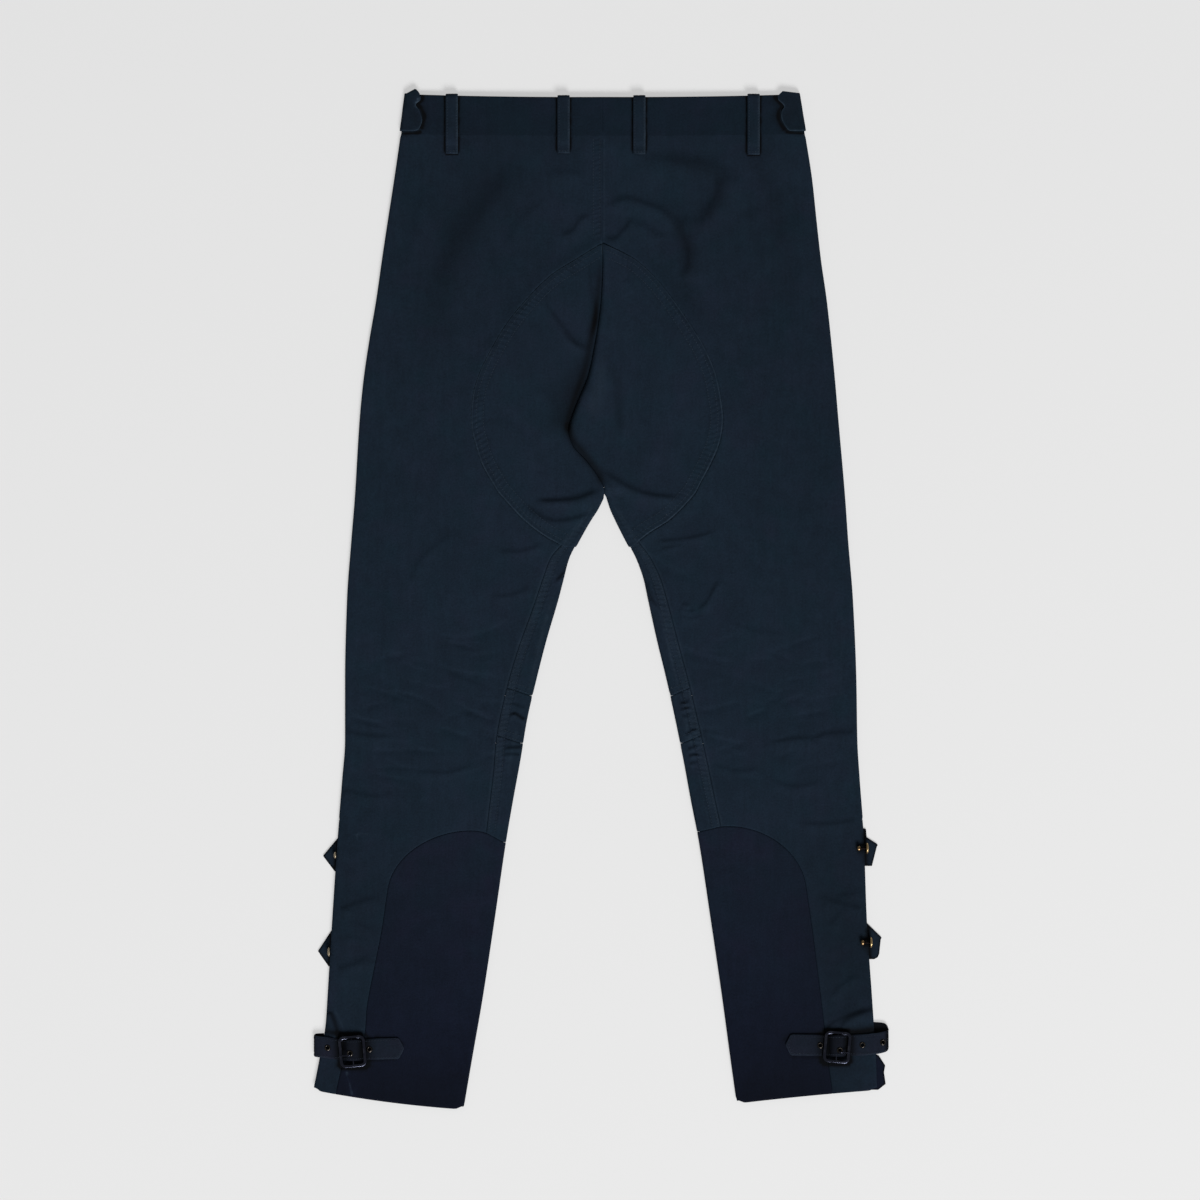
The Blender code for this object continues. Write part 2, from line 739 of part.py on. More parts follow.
def belt_loop(number, middle, bottom, surface, root):
    """A folded strip sewn below the waistband, which turns over the waist edge at its top."""
    leg = LEGS[0] if middle < read(CENTRE_SEAM, "across", 0) else LEGS[1]
    on_band = BAND / 2
    inside = abs(middle - leg.outer(on_band))
    base = back_top(leg, inside, on_band) + GAP + LOOP / 2
    top_y = leg.point(inside, 0, 0).y
    path = [(bottom - above, rise) for above, rise in zip(*LOOP_FOOT.values())]
    path += zip(*LOOP_HEAD.values())
    line = curve_through([Vector((middle, top_y - down, base + rise)) for down, rise in path], 3.5)
    half = Vector((LOOP_WIDTH / 2, 0, 0))
    ribbon(f"belt_loop_{number}", [(point, half) for point in line], LOOP, surface, root)


def waist_tab(leg, surface, root):
    """A tab that comes round the end of the waistband from the front."""
    middle = (TAB_TOP + TAB_BOTTOM) / 2
    radius = EDGE + GAP + TAB / 2
    side_line = leg.point(0, TAB_BOTTOM, 0) - leg.point(0, 0, 0)
    half = side_line.normalized() * (TAB_BOTTOM - TAB_TOP) / 2
    stations = []
    for inside in (TAB_REACH, TAB_REACH / 2, EDGE):
        over_crown = 0.012 * (inside - EDGE)
        stations.append((leg.point(inside, middle, EDGE + radius + over_crown), half))
    for k in range(1, 6):
        angle = k * math.radians(25)
        inside = EDGE - radius * math.sin(angle)
        stations.append((leg.point(inside, middle, EDGE + radius * math.cos(angle)), half))
    ribbon(f"waist_tab_{leg.name}", stations, TAB, surface, root)


def fly_shield(surface, root):
    """The shield behind the fly, between the two layers."""
    middle, half, top, bottom = 3.0, 18.0, 66.0, 235.0
    outline = [(middle - half, top), (middle + half, top), (middle + half, bottom - half)]
    for k in range(1, 5):
        angle = k * math.pi / 8
        outline.append(
            (middle - half + 2 * half * math.cos(angle), bottom - half + half * math.sin(angle))
        )
    outline = [(x, WAIST_Y - down) for x, down in outline]
    plate("fly_shield", outline, CLOTH + GAP, CLOTH + GAP + 1.0, surface, root)


def strap_line(leg):
    """The middle of the strap, from its pointed tip round the outer edge to its sewn end."""
    edge = leg.outer(STRAP_DOWN[leg.side])
    points = []
    for inside, height in zip(STRAP_PATH["inside"], STRAP_PATH["height"]):
        if inside < 0:
            inside *= STRAP_SLACK[leg.side]
        if inside >= 20:
            inside += STRAP_PULLED[leg.side]
        rise = STRAP_RISE[leg.side] * ease(-inside, -25, 6)
        y = WAIST_Y - STRAP_DOWN[leg.side] + rise
        points.append(Vector((edge - leg.side * inside, y, height)))
    return curve_through(points, 2.6)


def strap_frame(leg, inside):
    """Middle and upward normal of the strap where it first crosses a distance inside the edge."""
    line = strap_line(leg)
    edge = leg.outer(STRAP_DOWN[leg.side])

    def at(distance):
        x = edge - leg.side * distance
        i = next(i for i, point in enumerate(line) if (point.x - x) * leg.side >= 0)
        return line[i - 1].lerp(line[i], (x - line[i - 1].x) / (line[i].x - line[i - 1].x))

    ahead = at(inside - BARREL) - at(inside + BARREL)
    return at(inside), Vector((-ahead.z * leg.side, 0, abs(ahead.x))).normalized()


def ankle_strap(leg, cloth, metal, root):
    line = strap_line(leg)
    stations = []
    for i, point in enumerate(line):
        from_tip = (point - line[0]).length
        share = min(0.08 + from_tip / STRAP_TIP, 1.0)
        stations.append((point, Vector((0, STRAP_WIDTH / 2 * share, 0))))
    strap = ribbon(f"ankle_strap_{leg.name}", stations, STRAP, cloth, root)
    top = STRAP / 2 + GAP
    bore, rim = BARREL - 0.5, BARREL + 1.4
    profile = [(bore, -STRAP / 2), (BARREL, -STRAP / 2), (BARREL, top), (rim, top)]
    profile += [(rim - 0.4, top + 0.6), (bore + 0.2, top + 0.6)]
    hole_profile = [(0, -3), (BARREL + GAP, -3), (BARREL + GAP, 3), (0, 3)]
    for number, inside in enumerate(EYELETS_INSIDE[leg.side], 1):
        middle, normal = strap_frame(leg, inside)
        if number == PRONG_EYELET[leg.side] + 1:
            middle = middle + Vector((0, PRONG_ASIDE[leg.side], 0))
        hole = turned(f"hole_{leg.name}_{number}", hole_profile, 12, metal, root)
        stand(hole, middle, normal)
        cut(strap, hole)
        eyelet = turned(f"eyelet_{leg.name}_{number}", profile, 12, metal, root)
        stand(eyelet, middle, normal)


def stand(made, middle, normal):
    """Puts an object at a point, with its own Z along a direction."""
    made.location = middle * MM
    made.rotation_mode = "QUATERNION"
    made.rotation_quaternion = normal.to_track_quat("Z", "Y")


def ring_of_bar(width, thick, half_x, half_y, corner, steps):
    """A rounded rectangle of bar, as a bmesh round the origin."""
    mesh = bmesh.new()
    rings = []
    for k in range(4):
        along_x, along_y = ((1, 1), (-1, 1), (-1, -1), (1, -1))[k]
        centre = Vector((along_x * (half_x - corner), along_y * (half_y - corner), 0))
        for step in range(steps + 1):
            angle = (k + step / steps) * math.pi / 2
            out = Vector((math.cos(angle), math.sin(angle), 0))
            ring = []
            for side in range(8):
                about = (side + 0.5) * math.pi / 4
                point = centre + out * (corner + width / 2 * math.cos(about))
                point.z = thick / 2 * math.sin(about)
                ring.append(mesh.verts.new(point * MM))
            rings.append(ring)
    for ring, following in zip(rings, rings[1:] + rings[:1]):
        for side in range(8):
            after = (side + 1) % 8
            mesh.faces.new((ring[side], ring[after], following[after], following[side]))
    return mesh


def buckle(leg, metal, cloth, root):
    """Frame with its centre bar, the prong, and the cloth keeper that holds the bar down."""
    width, thick = BUCKLE_BAR
    half_x, half_y = (size / 2 - width / 2 for size in BUCKLE_SIZE)
    mesh = ring_of_bar(width, thick, half_x, half_y, BUCKLE_CORNER - width / 2, 3)
    frame = finish(f"buckle_frame_{leg.name}", mesh, metal, root, smooth=50)
    rod_mesh = bmesh.new()
    bmesh.ops.create_cone(
        rod_mesh,
        cap_ends=True,
        segments=8,
        radius1=CENTRE_BAR * MM,
        radius2=CENTRE_BAR * MM,
        depth=2 * half_y * MM,
        matrix=Matrix.Rotation(math.pi / 2, 4, "X"),
    )
    rod = finish(f"centre_bar_{leg.name}", rod_mesh, metal, root)
    cut(frame, rod, "UNION")
    pieces = [frame, rod, prong(leg, metal, root), *keeper(leg, cloth, root)]
    edge = leg.outer(STRAP_DOWN[leg.side])
    x = edge - leg.side * (BUCKLE_INSIDE + STRAP_PULLED[leg.side])
    y = WAIST_Y - STRAP_DOWN[leg.side]
    for piece in pieces:
        piece.location = Vector((x, y, BUCKLE_HEIGHT)) * MM
        piece.rotation_euler.z = math.radians(BUCKLE_TWIST[leg.side])


def prong(leg, metal, root):
    """A wire curled round the centre bar, up through the eyelet and out on to the outer bar."""
    curl = CENTRE_BAR + GAP + PRONG
    angles = [math.radians(angle) for angle in range(150, 361, 30)]
    points = [(curl * math.cos(angle), curl * math.sin(angle)) for angle in angles]
    points += zip(*PRONG_PATH.values())
    aside = PRONG_ASIDE[leg.side]
    path = curve_through([Vector((leg.side * x, aside, z)) for x, z in points], 0.9)
    data = bpy.data.curves.new(f"buckle_prong_{leg.name}", "CURVE")
    data.dimensions = "3D"
    data.bevel_depth = PRONG * MM
    data.bevel_resolution = 1
    data.use_fill_caps = True
    spline = data.splines.new("POLY")
    spline.points.add(len(path) - 1)
    for place, point in zip(spline.points, path):
        place.co = (*(point * MM), 1)
    data.materials.append(metal)
    made = bpy.data.objects.new(data.name, data)
    bpy.context.scene.collection.objects.link(made)
    made.parent = root
    return made


def keeper(leg, cloth, root):
    """An arched strip over the centre bar with both feet on the leg, slit for the prong."""
    curl = CENTRE_BAR + GAP + KEEPER / 2
    foot = list(zip(*KEEPER_FOOT.values()))
    arch = [(curl * math.cos(k * math.pi / 6), curl * math.sin(k * math.pi / 6)) for k in range(7)]
    path = [*foot, *arch, *((-x, z) for x, z in reversed(foot))]
    half = Vector((0, KEEPER_WIDTH / 2, 0))
    stations = [(Vector((x, 0, z)), half) for x, z in path]
    strip = ribbon(f"buckle_keeper_{leg.name}", stations, KEEPER, cloth, root)
    slit_mesh = bmesh.new()
    at_prong = Matrix.Translation((0, PRONG_ASIDE[leg.side] * MM, 0))
    size = Matrix.Diagonal((7 * MM, 3 * MM, 8 * MM, 1))
    bmesh.ops.create_cube(slit_mesh, size=1, matrix=at_prong @ size)
    slit = finish(f"keeper_slit_{leg.name}", slit_mesh, cloth, root)
    cut(strip, slit)
    return strip, slit


def vent(leg, cloth, lining, metal, root):
    """The open end of the outer seam: two pointed tabs with their buttons, and the underlap."""
    root_inside = EDGE + SIDE_UNDER - GAP

    def at(inside, down):
        return leg.outer(down) - leg.side * inside, WAIST_Y - down

    for side, place, top, tip_down, tip_out, foot, foot_out in zip(*VENT_TABS.values()):
        if side != leg.side:
            continue
        edge = [(root_inside, top), (0, top), (1 - tip_out, tip_down - TAB_POINT)]
        edge += [(-tip_out, tip_down), (1 - tip_out, tip_down + TAB_POINT)]
        edge += [(-foot_out, foot), (root_inside, foot)]
        outline = [at(inside, down) for inside, down in edge]
        plate(f"vent_tab_{place}_{leg.name}", outline, 0, CLOTH, cloth, root)
    for side, place, down, size in zip(*VENT_BUTTONS.values()):
        if side != leg.side:
            continue
        profile = [(radius * size, height) for radius, height in zip(*BUTTON[side].values())]
        button = turned(f"vent_button_{place}_{leg.name}", profile, 14, metal, root)
        tilt = math.radians(BUTTON_TILT[side])
        middle = Vector((*at(-BUTTON_OUT[side], down), BUTTON_HEIGHT[side]))
        stand(button, middle, Vector((leg.side * math.cos(tilt), 0, math.sin(tilt))))
    edge = [(root_inside, UNDERLAP_TOP), *UNDERLAP_EDGE[leg.side]]
    edge.append((root_inside, UNDERLAP_EDGE[leg.side][-1][1]))
    outline = [at(inside, down) for inside, down in edge]
    plate(f"vent_underlap_{leg.name}", outline, 0, CLOTH, lining, root)


def main():
    for old in list(bpy.data.objects):
        bpy.data.objects.remove(old, do_unlink=True)
    root = bpy.data.objects.new("biker_pants", None)
    bpy.context.scene.collection.objects.link(root)

    twill = material("navy_twill", (0.010, 0.017, 0.027), 0.85)
    calf_twill = material("calf_twill", (0.008, 0.010, 0.019), 0.85)
    band = material("waistband_twill", (0.007, 0.012, 0.020), 0.85)
    strap_cloth = material("strap_cloth", (0.009, 0.012, 0.020), 0.8)
    black_metal = material("black_metal", (0.01, 0.01, 0.012), 0.25, 1.0)
    bronze = material("dark_bronze", (0.08, 0.07, 0.05), 0.4, 1.0)
    brass = material("brass", (0.45, 0.33, 0.16), 0.35, 1.0)

    for leg in LEGS:
        back_panel(leg, twill, root)
        seat_patch(leg, twill, root)
        calf_patch(leg, calf_twill, root)
        front_panels(leg, twill, root)
        waistbands(leg, band, root)
        waist_tab(leg, band, root)
        ankle_strap(leg, strap_cloth, bronze, root)
        buckle(leg, black_metal, strap_cloth, root)
        vent(leg, twill, calf_twill, brass, root)
    fly_shield(twill, root)
    for number, middle, bottom in zip(*BELT_LOOPS.values()):
        belt_loop(number, middle, bottom, band, root)


main()
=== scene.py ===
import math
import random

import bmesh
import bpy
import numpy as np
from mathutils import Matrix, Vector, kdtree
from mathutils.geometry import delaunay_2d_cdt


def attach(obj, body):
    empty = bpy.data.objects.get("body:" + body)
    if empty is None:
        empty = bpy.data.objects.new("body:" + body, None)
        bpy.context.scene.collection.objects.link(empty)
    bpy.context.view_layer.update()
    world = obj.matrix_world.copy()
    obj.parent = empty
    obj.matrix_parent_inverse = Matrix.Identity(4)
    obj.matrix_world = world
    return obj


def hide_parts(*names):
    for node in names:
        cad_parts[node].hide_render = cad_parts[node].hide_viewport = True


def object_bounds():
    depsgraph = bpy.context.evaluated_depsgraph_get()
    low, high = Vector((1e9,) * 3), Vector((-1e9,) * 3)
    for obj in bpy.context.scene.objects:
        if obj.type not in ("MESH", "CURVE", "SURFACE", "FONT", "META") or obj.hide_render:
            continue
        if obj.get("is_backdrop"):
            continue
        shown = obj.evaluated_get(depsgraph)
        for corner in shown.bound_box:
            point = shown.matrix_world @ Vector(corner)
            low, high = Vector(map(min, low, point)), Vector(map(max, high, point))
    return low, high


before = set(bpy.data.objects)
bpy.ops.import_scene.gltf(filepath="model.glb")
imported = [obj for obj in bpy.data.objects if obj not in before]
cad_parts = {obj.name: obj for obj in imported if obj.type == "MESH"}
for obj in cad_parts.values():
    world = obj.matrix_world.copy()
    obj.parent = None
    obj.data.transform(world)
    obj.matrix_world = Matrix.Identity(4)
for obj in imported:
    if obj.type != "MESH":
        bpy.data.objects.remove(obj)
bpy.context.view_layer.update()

# Biker pants in cotton twill, laid flat on their front so that the back faces up.
# +Y runs towards the waist, +X to the wearer's right, +Z up from the floor.
# Sizes are in millimetres and become metres only where a mesh is made.
#
# Each leg is a flattened tube of cloth. A place on its wall is (u, v): v is the distance below the
# waist edge, and u runs from the outer edge of the back layer to its inner edge. Past either edge u
# goes on round the roll and back along the front layer, so that (u, v) is the cloth cut flat.

MM = 0.001

# Driving sizes.
WAIST_Y = 520.52  # the waist edge at the sides, above the middle of the garment
CLOTH = 1.4  # wall of every sewn panel: shell cloth and its seam allowances
PATCH = 1.2  # wall of the seat patches
GAP = 0.3  # clearance between neighbouring pieces
ROLL = 1.6  # middle radius of a rolled edge
CROWN = 1.4  # how far the back layer stands up between its edges
EDGE = ROLL + CLOTH / 2  # from the outline to where a layer lies flat
BAND = 40.5  # height of the waistband
FRONT_DIP = 18.0  # the front waist is cut lower at its middle
CROTCH = 416.0
PELVIS_END = 400.0  # below this the inner edges start to part
KNEE_TOP, KNEE_BOTTOM = 611.0, 660.0  # inner ends of the knee panel's seams
KNEE_DIP = 8.0  # the knee seams fall this much from the inseam to the edge
VENT = 748.0  # top of the open vent in the outer seam
HEM = 1025.0  # hem at the outer edge
HEM_CORNER = 2.6  # how much its corners are rounded off
SIDE_UNDER = 6.0  # the back panel turns this far under to the side seam
CALF_FRONT = 40.0  # the calf patch reaches this far on to the front
CALF_FRONT_DROP = 26.0
FOLD_REACH = 42.0  # the seat fold rises over this distance
LOOP_WIDTH, LOOP = 12.5, 1.6  # belt loops
TAB = 1.2  # wall of the side tabs on the waistband
TAB_TOP, TAB_BOTTOM = -4.0, 38.0
STRAP_WIDTH, STRAP = 21.5, 1.6
STRAP_TIP = 8.5  # length of the strap's rounded tip
STRIP_CLOTH = 1.5  # cloth of the straps and belt loops, just inside their walls
# A waist tab: its reach from the leg's outer edge, its upper edge measured from its middle, and
# its cut end, as (distance outwards from its reach, distance below its middle).
WAIST_TAB = {
    -1: {
        "reach": 20.5,
        "top": -18.0,
        "cut": (
            (11.7, -22.8), (9.5, -21.7), (5.8, -17.2), (4.6, -11.5), (8.9, -6.6),
            (4.5, -1.0), (0.7, 7.6), (0.3, 12.4), (3.1, 19.4), (9.0, 20.9),
        ),
    },
    1: {
        "reach": 22.0,
        "top": -18.5,
        "cut": (
            (6.0, -20.8), (0.2, -15.8), (-0.6, -12.6), (5.0, -5.4), (1.4, 0.6), (0.6, 9.3), (5.2, 19.6),
            (10.0, 20.7),
        ),
    },
}


def table(columns, *rows):
    """Rows of figures under named columns, kept as one tuple for each column."""
    return dict(zip(columns.split(), zip(*rows)))


def rows_of(sheet):
    return list(zip(*sheet.values()))


OUTLINE = table(
    "down left right",
    (0, -199.5, 205),
    (43, -205, 212),
    (88, -211.5, 219),
    (130, -218, 223.5),
    (170, -224, 228),
    (212, -230, 234),
    (253, -237, 238.5),
    (294, -243, 242.5),
    (335, -247, 246),
    (416, -252, 253),
    (459, -255.5, 256),
    (521, -260, 261),
    (603, -262, 264.5),
    (665, -262, 265.5),
    (706, -265, 268),
    (768, -270, 272.5),
    (850, -275.5, 275.5),
    (932, -280.5, 281),
    (955, -282, 282.5),
    (995, -289, 285),
    (1025, -295, 286),
)
CENTRE_SEAM = table("down across", (0, 3), (150, 3), (416, 5.5))
INNER_EDGE = table(
    "down left right",
    (416, 3, 8.5),
    (428, -3, 12.5),
    (438, -9.5, 17),
    (459, -21.5, 27.5),
    (479, -31.5, 38),
    (500, -37, 45.5),
    (521, -42.5, 50),
    (562, -54.5, 59),
    (603, -65, 69),
    (644, -74.5, 78),
    (686, -81.5, 86.5),
    (727, -89, 94),
    (768, -96, 102),
    (850, -108, 114.5),
    (932, -120.5, 126.5),
    (995, -131.5, 135),
    (1045, -140, 142),
)
# The rows slope from the outer edge to the inner one at the waist and at the hem.
SLOPE = {
    -1: table("down fall bow", (0, 3, 1), (150, 0, 0), (850, 0, 0), (1025, 20, 2.4)),
    1: table("down fall bow", (0, 3, 1), (150, 0, 0), (850, 0, 0), (1025, 14, -1)),
}
# Distance of the inseam from the flat inner end of the back layer.
INSEAM = table(
    "down left right",
    (400, 0, 0),
    (416, 2, 2),
    (438, 6, 5),
    (459, 11, 9),
    (478, 17, 13),
    (537, 22, 18),
    (611, 26, 20),
    (660, 26, 21),
    (700, 23, 22),
    (748, 20, 23),
    (770, 19, 23),
)
# The calf patch: its reach from the inner edge, and the arch of its top seam.
CALF = {
    -1: {"reach": 114.5, "crest_reach": 38.0, "crest": 758.0, "rise": 60.0, "edge": 770.0},
    1: {"reach": 103.0, "crest_reach": 34.0, "crest": 753.5, "rise": 60.0, "edge": 759.0},
}
# Its outer seam leaves that reach lower down, and steps outwards where the left strap gathers it.
CALF_SPREAD = table(
    "down left right",
    (860, 0, 0),
    (932, 2.5, -2),
    (966, -1, -3),
    (977, -1, -3.3),
    (998, 16, -4),
    (1040, 17.5, -4.5),
)
# The two halves of the seat patch, their meeting line, and how far the right half stands up there.
SEAT = table(
    "down left fold right lift",
    (154, 2, 3, 4, 0.8),
    (170, -24, 4, 36, 0.9),
    (186, -49, 3.5, 54.5, 1.2),
    (208, -72, 2.5, 73, 1.6),
    (235, -94.5, -0.5, 92, 2.2),
    (262, -111, -5, 108.5, 2.6),
    (290, -124.5, -11, 120, 3.0),
    (312, -130.5, -20, 124.5, 3.2),
    (334, -132, -28.5, 127, 3.2),
    (346, -131, -31.5, 126, 3.2),
    (360, -127.5, -27.5, 123, 3.0),
    (380, -121, -10.5, 114.5, 2.8),
    (400, -110, 3, 104, 2.2),
    (409, -104.5, 6, 99.5, 2.1),
    (416, -98.5, 3, 94, 2.0),
    (438, -78, 3, 72, 2.0),
    (453, -59, 3, 49, 2.0),
    (466, -36, 3, 33.5, 2.0),
)
BELT_LOOPS = table(
    "number middle bottom", (1, -152, 60), (2, -37, 58), (3, 41, 59), (4, 158.5, 61)
)
# A loop's middle line: from its lower end up to the waist edge, and how far it stands off the band.
LOOP_FOOT = table("above_bottom rise", (0, 0), (8, 0.1), (15, 1.4))
LOOP_HEAD = table("down rise", (24, 1.9), (8, 1.7), (1, 1.2), (-0.9, -0.2), (-0.9, -2.6))
# The strap's middle line: distance inside the leg's outer edge, and height above the floor.
STRAP_PATH = table(
    "inside height",
    (86, 7.2),
    (70, 7.15),
    (54, 7.0),
    (46, 6.8),
    (42, 7.0),
    (40, 8.6),
    (37, 12.0),
    (33, 12.7),
    (29, 12.0),
    (26, 8.6),
    (24, 7.0),
    (20, 6.4),
    (12, 6.2),
    (4, 6.1),
    (-2, 5.8),
    (-5.6, 4.6),
    (-6.2, 2.9),
    (-4.4, 1.4),
    (-1.2, 1.1),
)
STRAP_DOWN = {-1: 985.0, 1: 980.5}
STRAP_SLACK = {-1: 1.0, 1: 2.0}  # how far the loop past the edge stands off
# How far each strap lies towards the waist of its plain line, as (distance inside, rise). The last
# points of its path, behind its loop, have rises of their own.
STRAP_LIE = {
    -1: ((-6, 5.0), (0, 4.5), (12, 3.2), (24, 1.7), (46, 1.7), (56, 2.6), (86, 3.2)),
    1: ((-6, 5.0), (0, 3.6), (12, 2.2), (24, 1.7), (46, 1.7), (56, 2.0), (86, 2.3)),
}
STRAP_BEHIND = {-1: (5.2, 6.0, 7.2, 7.6), 1: (6.2, 9.5, 13.5, 14.7)}
BARREL = 2.0  # outer radius of an eyelet's barrel
EYELETS_INSIDE = {-1: (7.6, 31.0, 50.5), 1: (-7.0, 14.0, 37.8, 57.5)}  # from the leg's edge
PRONG_EYELET = {-1: 1, 1: 2}  # which of them the prong goes through
PRONG_ASIDE = {-1: -3.2, 1: -4.5}  # how far it and its prong lie off the strap's middle line
STRAP_PULLED = {-1: 0.0, 1: 6.8}  # the right strap and its buckle lie further in
STRAP_FRAMED = 20  # the strap is pulled from this far inside the edge on
STRAP_ROOT = {-1: (3.4, 0.95), 1: (2.8, 0.95)}  # where its sewn end lies under the leg
BUCKLE_INSIDE = 33.0
BARS_INSIDE = (46.5, 19.5)  # the frame's two sides
BUCKLE_HEIGHT = 9.3
BUCKLE_SIZE = (28.0, 33.0)
BUCKLE_BAR = (3.6, 2.4)  # width and thickness
BUCKLE_CORNER = 6.0
BUCKLE_TWIST = {-1: 5.0, 1: -5.0}  # degrees
CENTRE_BAR, PRONG = 0.9, 0.7  # radii
# The prong past its curl: distance outwards from the centre bar, and height over it.
PRONG_PATH = table(
    "out height", (1.9, 2.4), (1.9, 4.6), (2.6, 6.0), (4.4, 6.4), (7.5, 5.4), (10.5, 3.4), (13, 2.5)
)
KEEPER, KEEPER_WIDTH = 1.0, 15.0  # the cloth that holds the centre bar to the strap
SLOT_LENGTH, SLOT_WIDTH = 6.8, 3.0  # its opening for the prong
KEEPER_FOOT = table("out height", (7, -2.85), (4, -2.85), (2.2, -1.8))
VENT_TABS = table(
    "side place top shoulder tip_down tip_out foot foot_out",
    (-1, "upper", 766, 0, 784, 13.5, 800, 0.5),
    (-1, "lower", 861, 0, 882, 12.5, 898, 0.5),
    (1, "upper", 755.5, 9.3, 773, 13.8, 794.5, 7),
    (1, "lower", 853.5, 0, 868.5, 14, 890.5, 10.4),
)
VENT_BUTTONS = table(
    "side place down size",
    (-1, "upper", 783, 0.7),
    (-1, "lower", 882.5, 1.0),
    (1, "upper", 776, 1.0),
    (1, "lower", 873, 1.0),
)
# A button about its own axis, as (radius, height). The left ones show a low dome; the right ones
# show a base on the leg, a shank, and the hollow back of the head.
BUTTON = {
    -1: ((0, -0.9), (4.7, -0.9), (5, -0.3), (4.4, 0.6), (2.8, 1.3), (0, 1.6)),
    1: (
        (0, -10.4), (1.9, -10.2), (2.8, -9.4), (2.8, -7.7), (1.2, -6.9), (1.2, -0.3),
        (4.3, -0.3), (4.7, -1.3), (5.5, -1.2), (5.8, 0.3), (4.6, 1.0), (0, 1.2),
    ),
}
HOLLOW = (-6.7, -0.25)  # heights between which its hollow back and shank get painted dark shade
BUTTON_OUT = {-1: 0.9, 1: 2.3}  # the head's place past the edge
BUTTON_HEIGHT = {-1: 6.6, 1: 7.4}  # and above the floor
BUTTON_TILT = {-1: 3.0, 1: -6.0}  # degrees
TAB_POINT = 1.5  # half the blunt end of a vent tab
# A vent tab's lower corner, as (distance inwards, distance below it); one is rounded.
SQUARE_FOOT = ((0, 0),)
TAB_FOOT = {("lower", 1): ((0, -5.5), (1.8, -2.0), (5.5, 0))}
TAB_CLOTH = 1.3  # wall of the vent tabs and underlaps
UNDERLAP_TOP = 975.0
# Past the ankle strap the right underlap shows outside the edge.
UNDERLAP_EDGE = {
    -1: ((2.5, 975), (2.5, 1020)),
    1: ((2.5, 975), (2, 987), (-3, 990), (-9, 1000), (-7.5, 1007), (-8.9, 1019), (-1, 1025)),
}


# Reading the tables.


class Curve:
    """A column of a table as a smooth function of the distance down, which never overshoots."""

    def __init__(self, sheet, column):
        self.x = np.array(sheet["down"], float)
        self.y = np.array(sheet[column], float)
        step = np.diff(self.y) / np.diff(self.x)
        before, after = step[:-1], step[1:]
        same_way = before * after > 0
        total = np.where(same_way, before + after, 1.0)
        inner = np.where(same_way, 2 * before * after / total, 0.0)
        self.slope = np.concatenate([step[:1], inner, step[-1:]])

    def __call__(self, down):
        down = np.clip(np.asarray(down, float), self.x[0], self.x[-1])
        i = np.clip(np.searchsorted(self.x, down, side="left") - 1, 0, len(self.x) - 2)
        span = self.x[i + 1] - self.x[i]
        t = (down - self.x[i]) / span
        ends = self.y[i] * (1 + 2 * t) * (1 - t) ** 2 + self.y[i + 1] * t * t * (3 - 2 * t)
        return ends + span * (self.slope[i] * t * (1 - t) ** 2 - self.slope[i + 1] * t * t * (1 - t))


def ease(value, low, high):
    """0 below low, 1 above high, and a smooth step between them."""
    t = np.clip((np.asarray(value, float) - low) / (high - low), 0.0, 1.0)
    return t * t * (3 - 2 * t)


def bell(value, width):
    """1 at zero, dying out on both sides over about the width."""
    return np.exp(-((value / width) ** 2))


def unit(rows):
    """Rows scaled to length 1."""
    return rows / np.linalg.norm(rows, axis=1)[:, None]


def arc_of(points):
    """How far each point of a polyline lies along it."""
    return np.concatenate([[0], np.cumsum(np.linalg.norm(np.diff(points, axis=0), axis=1))])


def smooth(points, step):
    """Points at about an even step along a smooth curve through the given ones."""
    points = np.array(points, float)
    ends = np.vstack([2 * points[0] - points[1], points, 2 * points[-1] - points[-2]])
    t = np.linspace(0, 1, 16, endpoint=False)[:, None]
    fine = []
    for p, q, r, s in zip(ends, ends[1:], ends[2:], ends[3:]):
        bend, twist = 2 * p - 5 * q + 4 * r - s, 3 * q - p - 3 * r + s
        fine.append(q + ((r - p) * t + bend * t**2 + twist * t**3) / 2)
    return even(np.vstack([*fine, points[-1:]]), step)


def even(points, step):
    """The same polyline with its points at an even step, both ends kept."""
    points = np.array(points, float)
    arc = arc_of(points)
    places = np.linspace(0, arc[-1], max(int(round(arc[-1] / step)), 1) + 1)
    return np.stack([np.interp(places, arc, column) for column in points.T], 1)


def noise(across, down, size, seed):
    """Smooth noise from -1 to 1 whose swells are about the given size apart."""
    lattice = np.random.default_rng(seed).uniform(-1, 1, (256, 256))
    x, y = across / size + 100.37, down / size + 50.61
    i, j = np.floor(x).astype(int), np.floor(y).astype(int)
    s, t = ease(x - i, 0, 1), ease(y - j, 0, 1)
    i, j, k, m = i % 256, j % 256, (i + 1) % 256, (j + 1) % 256
    low = lattice[i, j] * (1 - s) + lattice[k, j] * s
    high = lattice[i, m] * (1 - s) + lattice[k, m] * s
    return low * (1 - t) + high * t


# Creases, as the cloth's height over its plain form, with painted shade along their dark lines
# where they have a tone. Each is drawn along the line that looks dark, in (across, down)
# millimetres, with its crest on the side that the light comes from.

LIGHT_SIDE = np.array([0.3, 1.0])


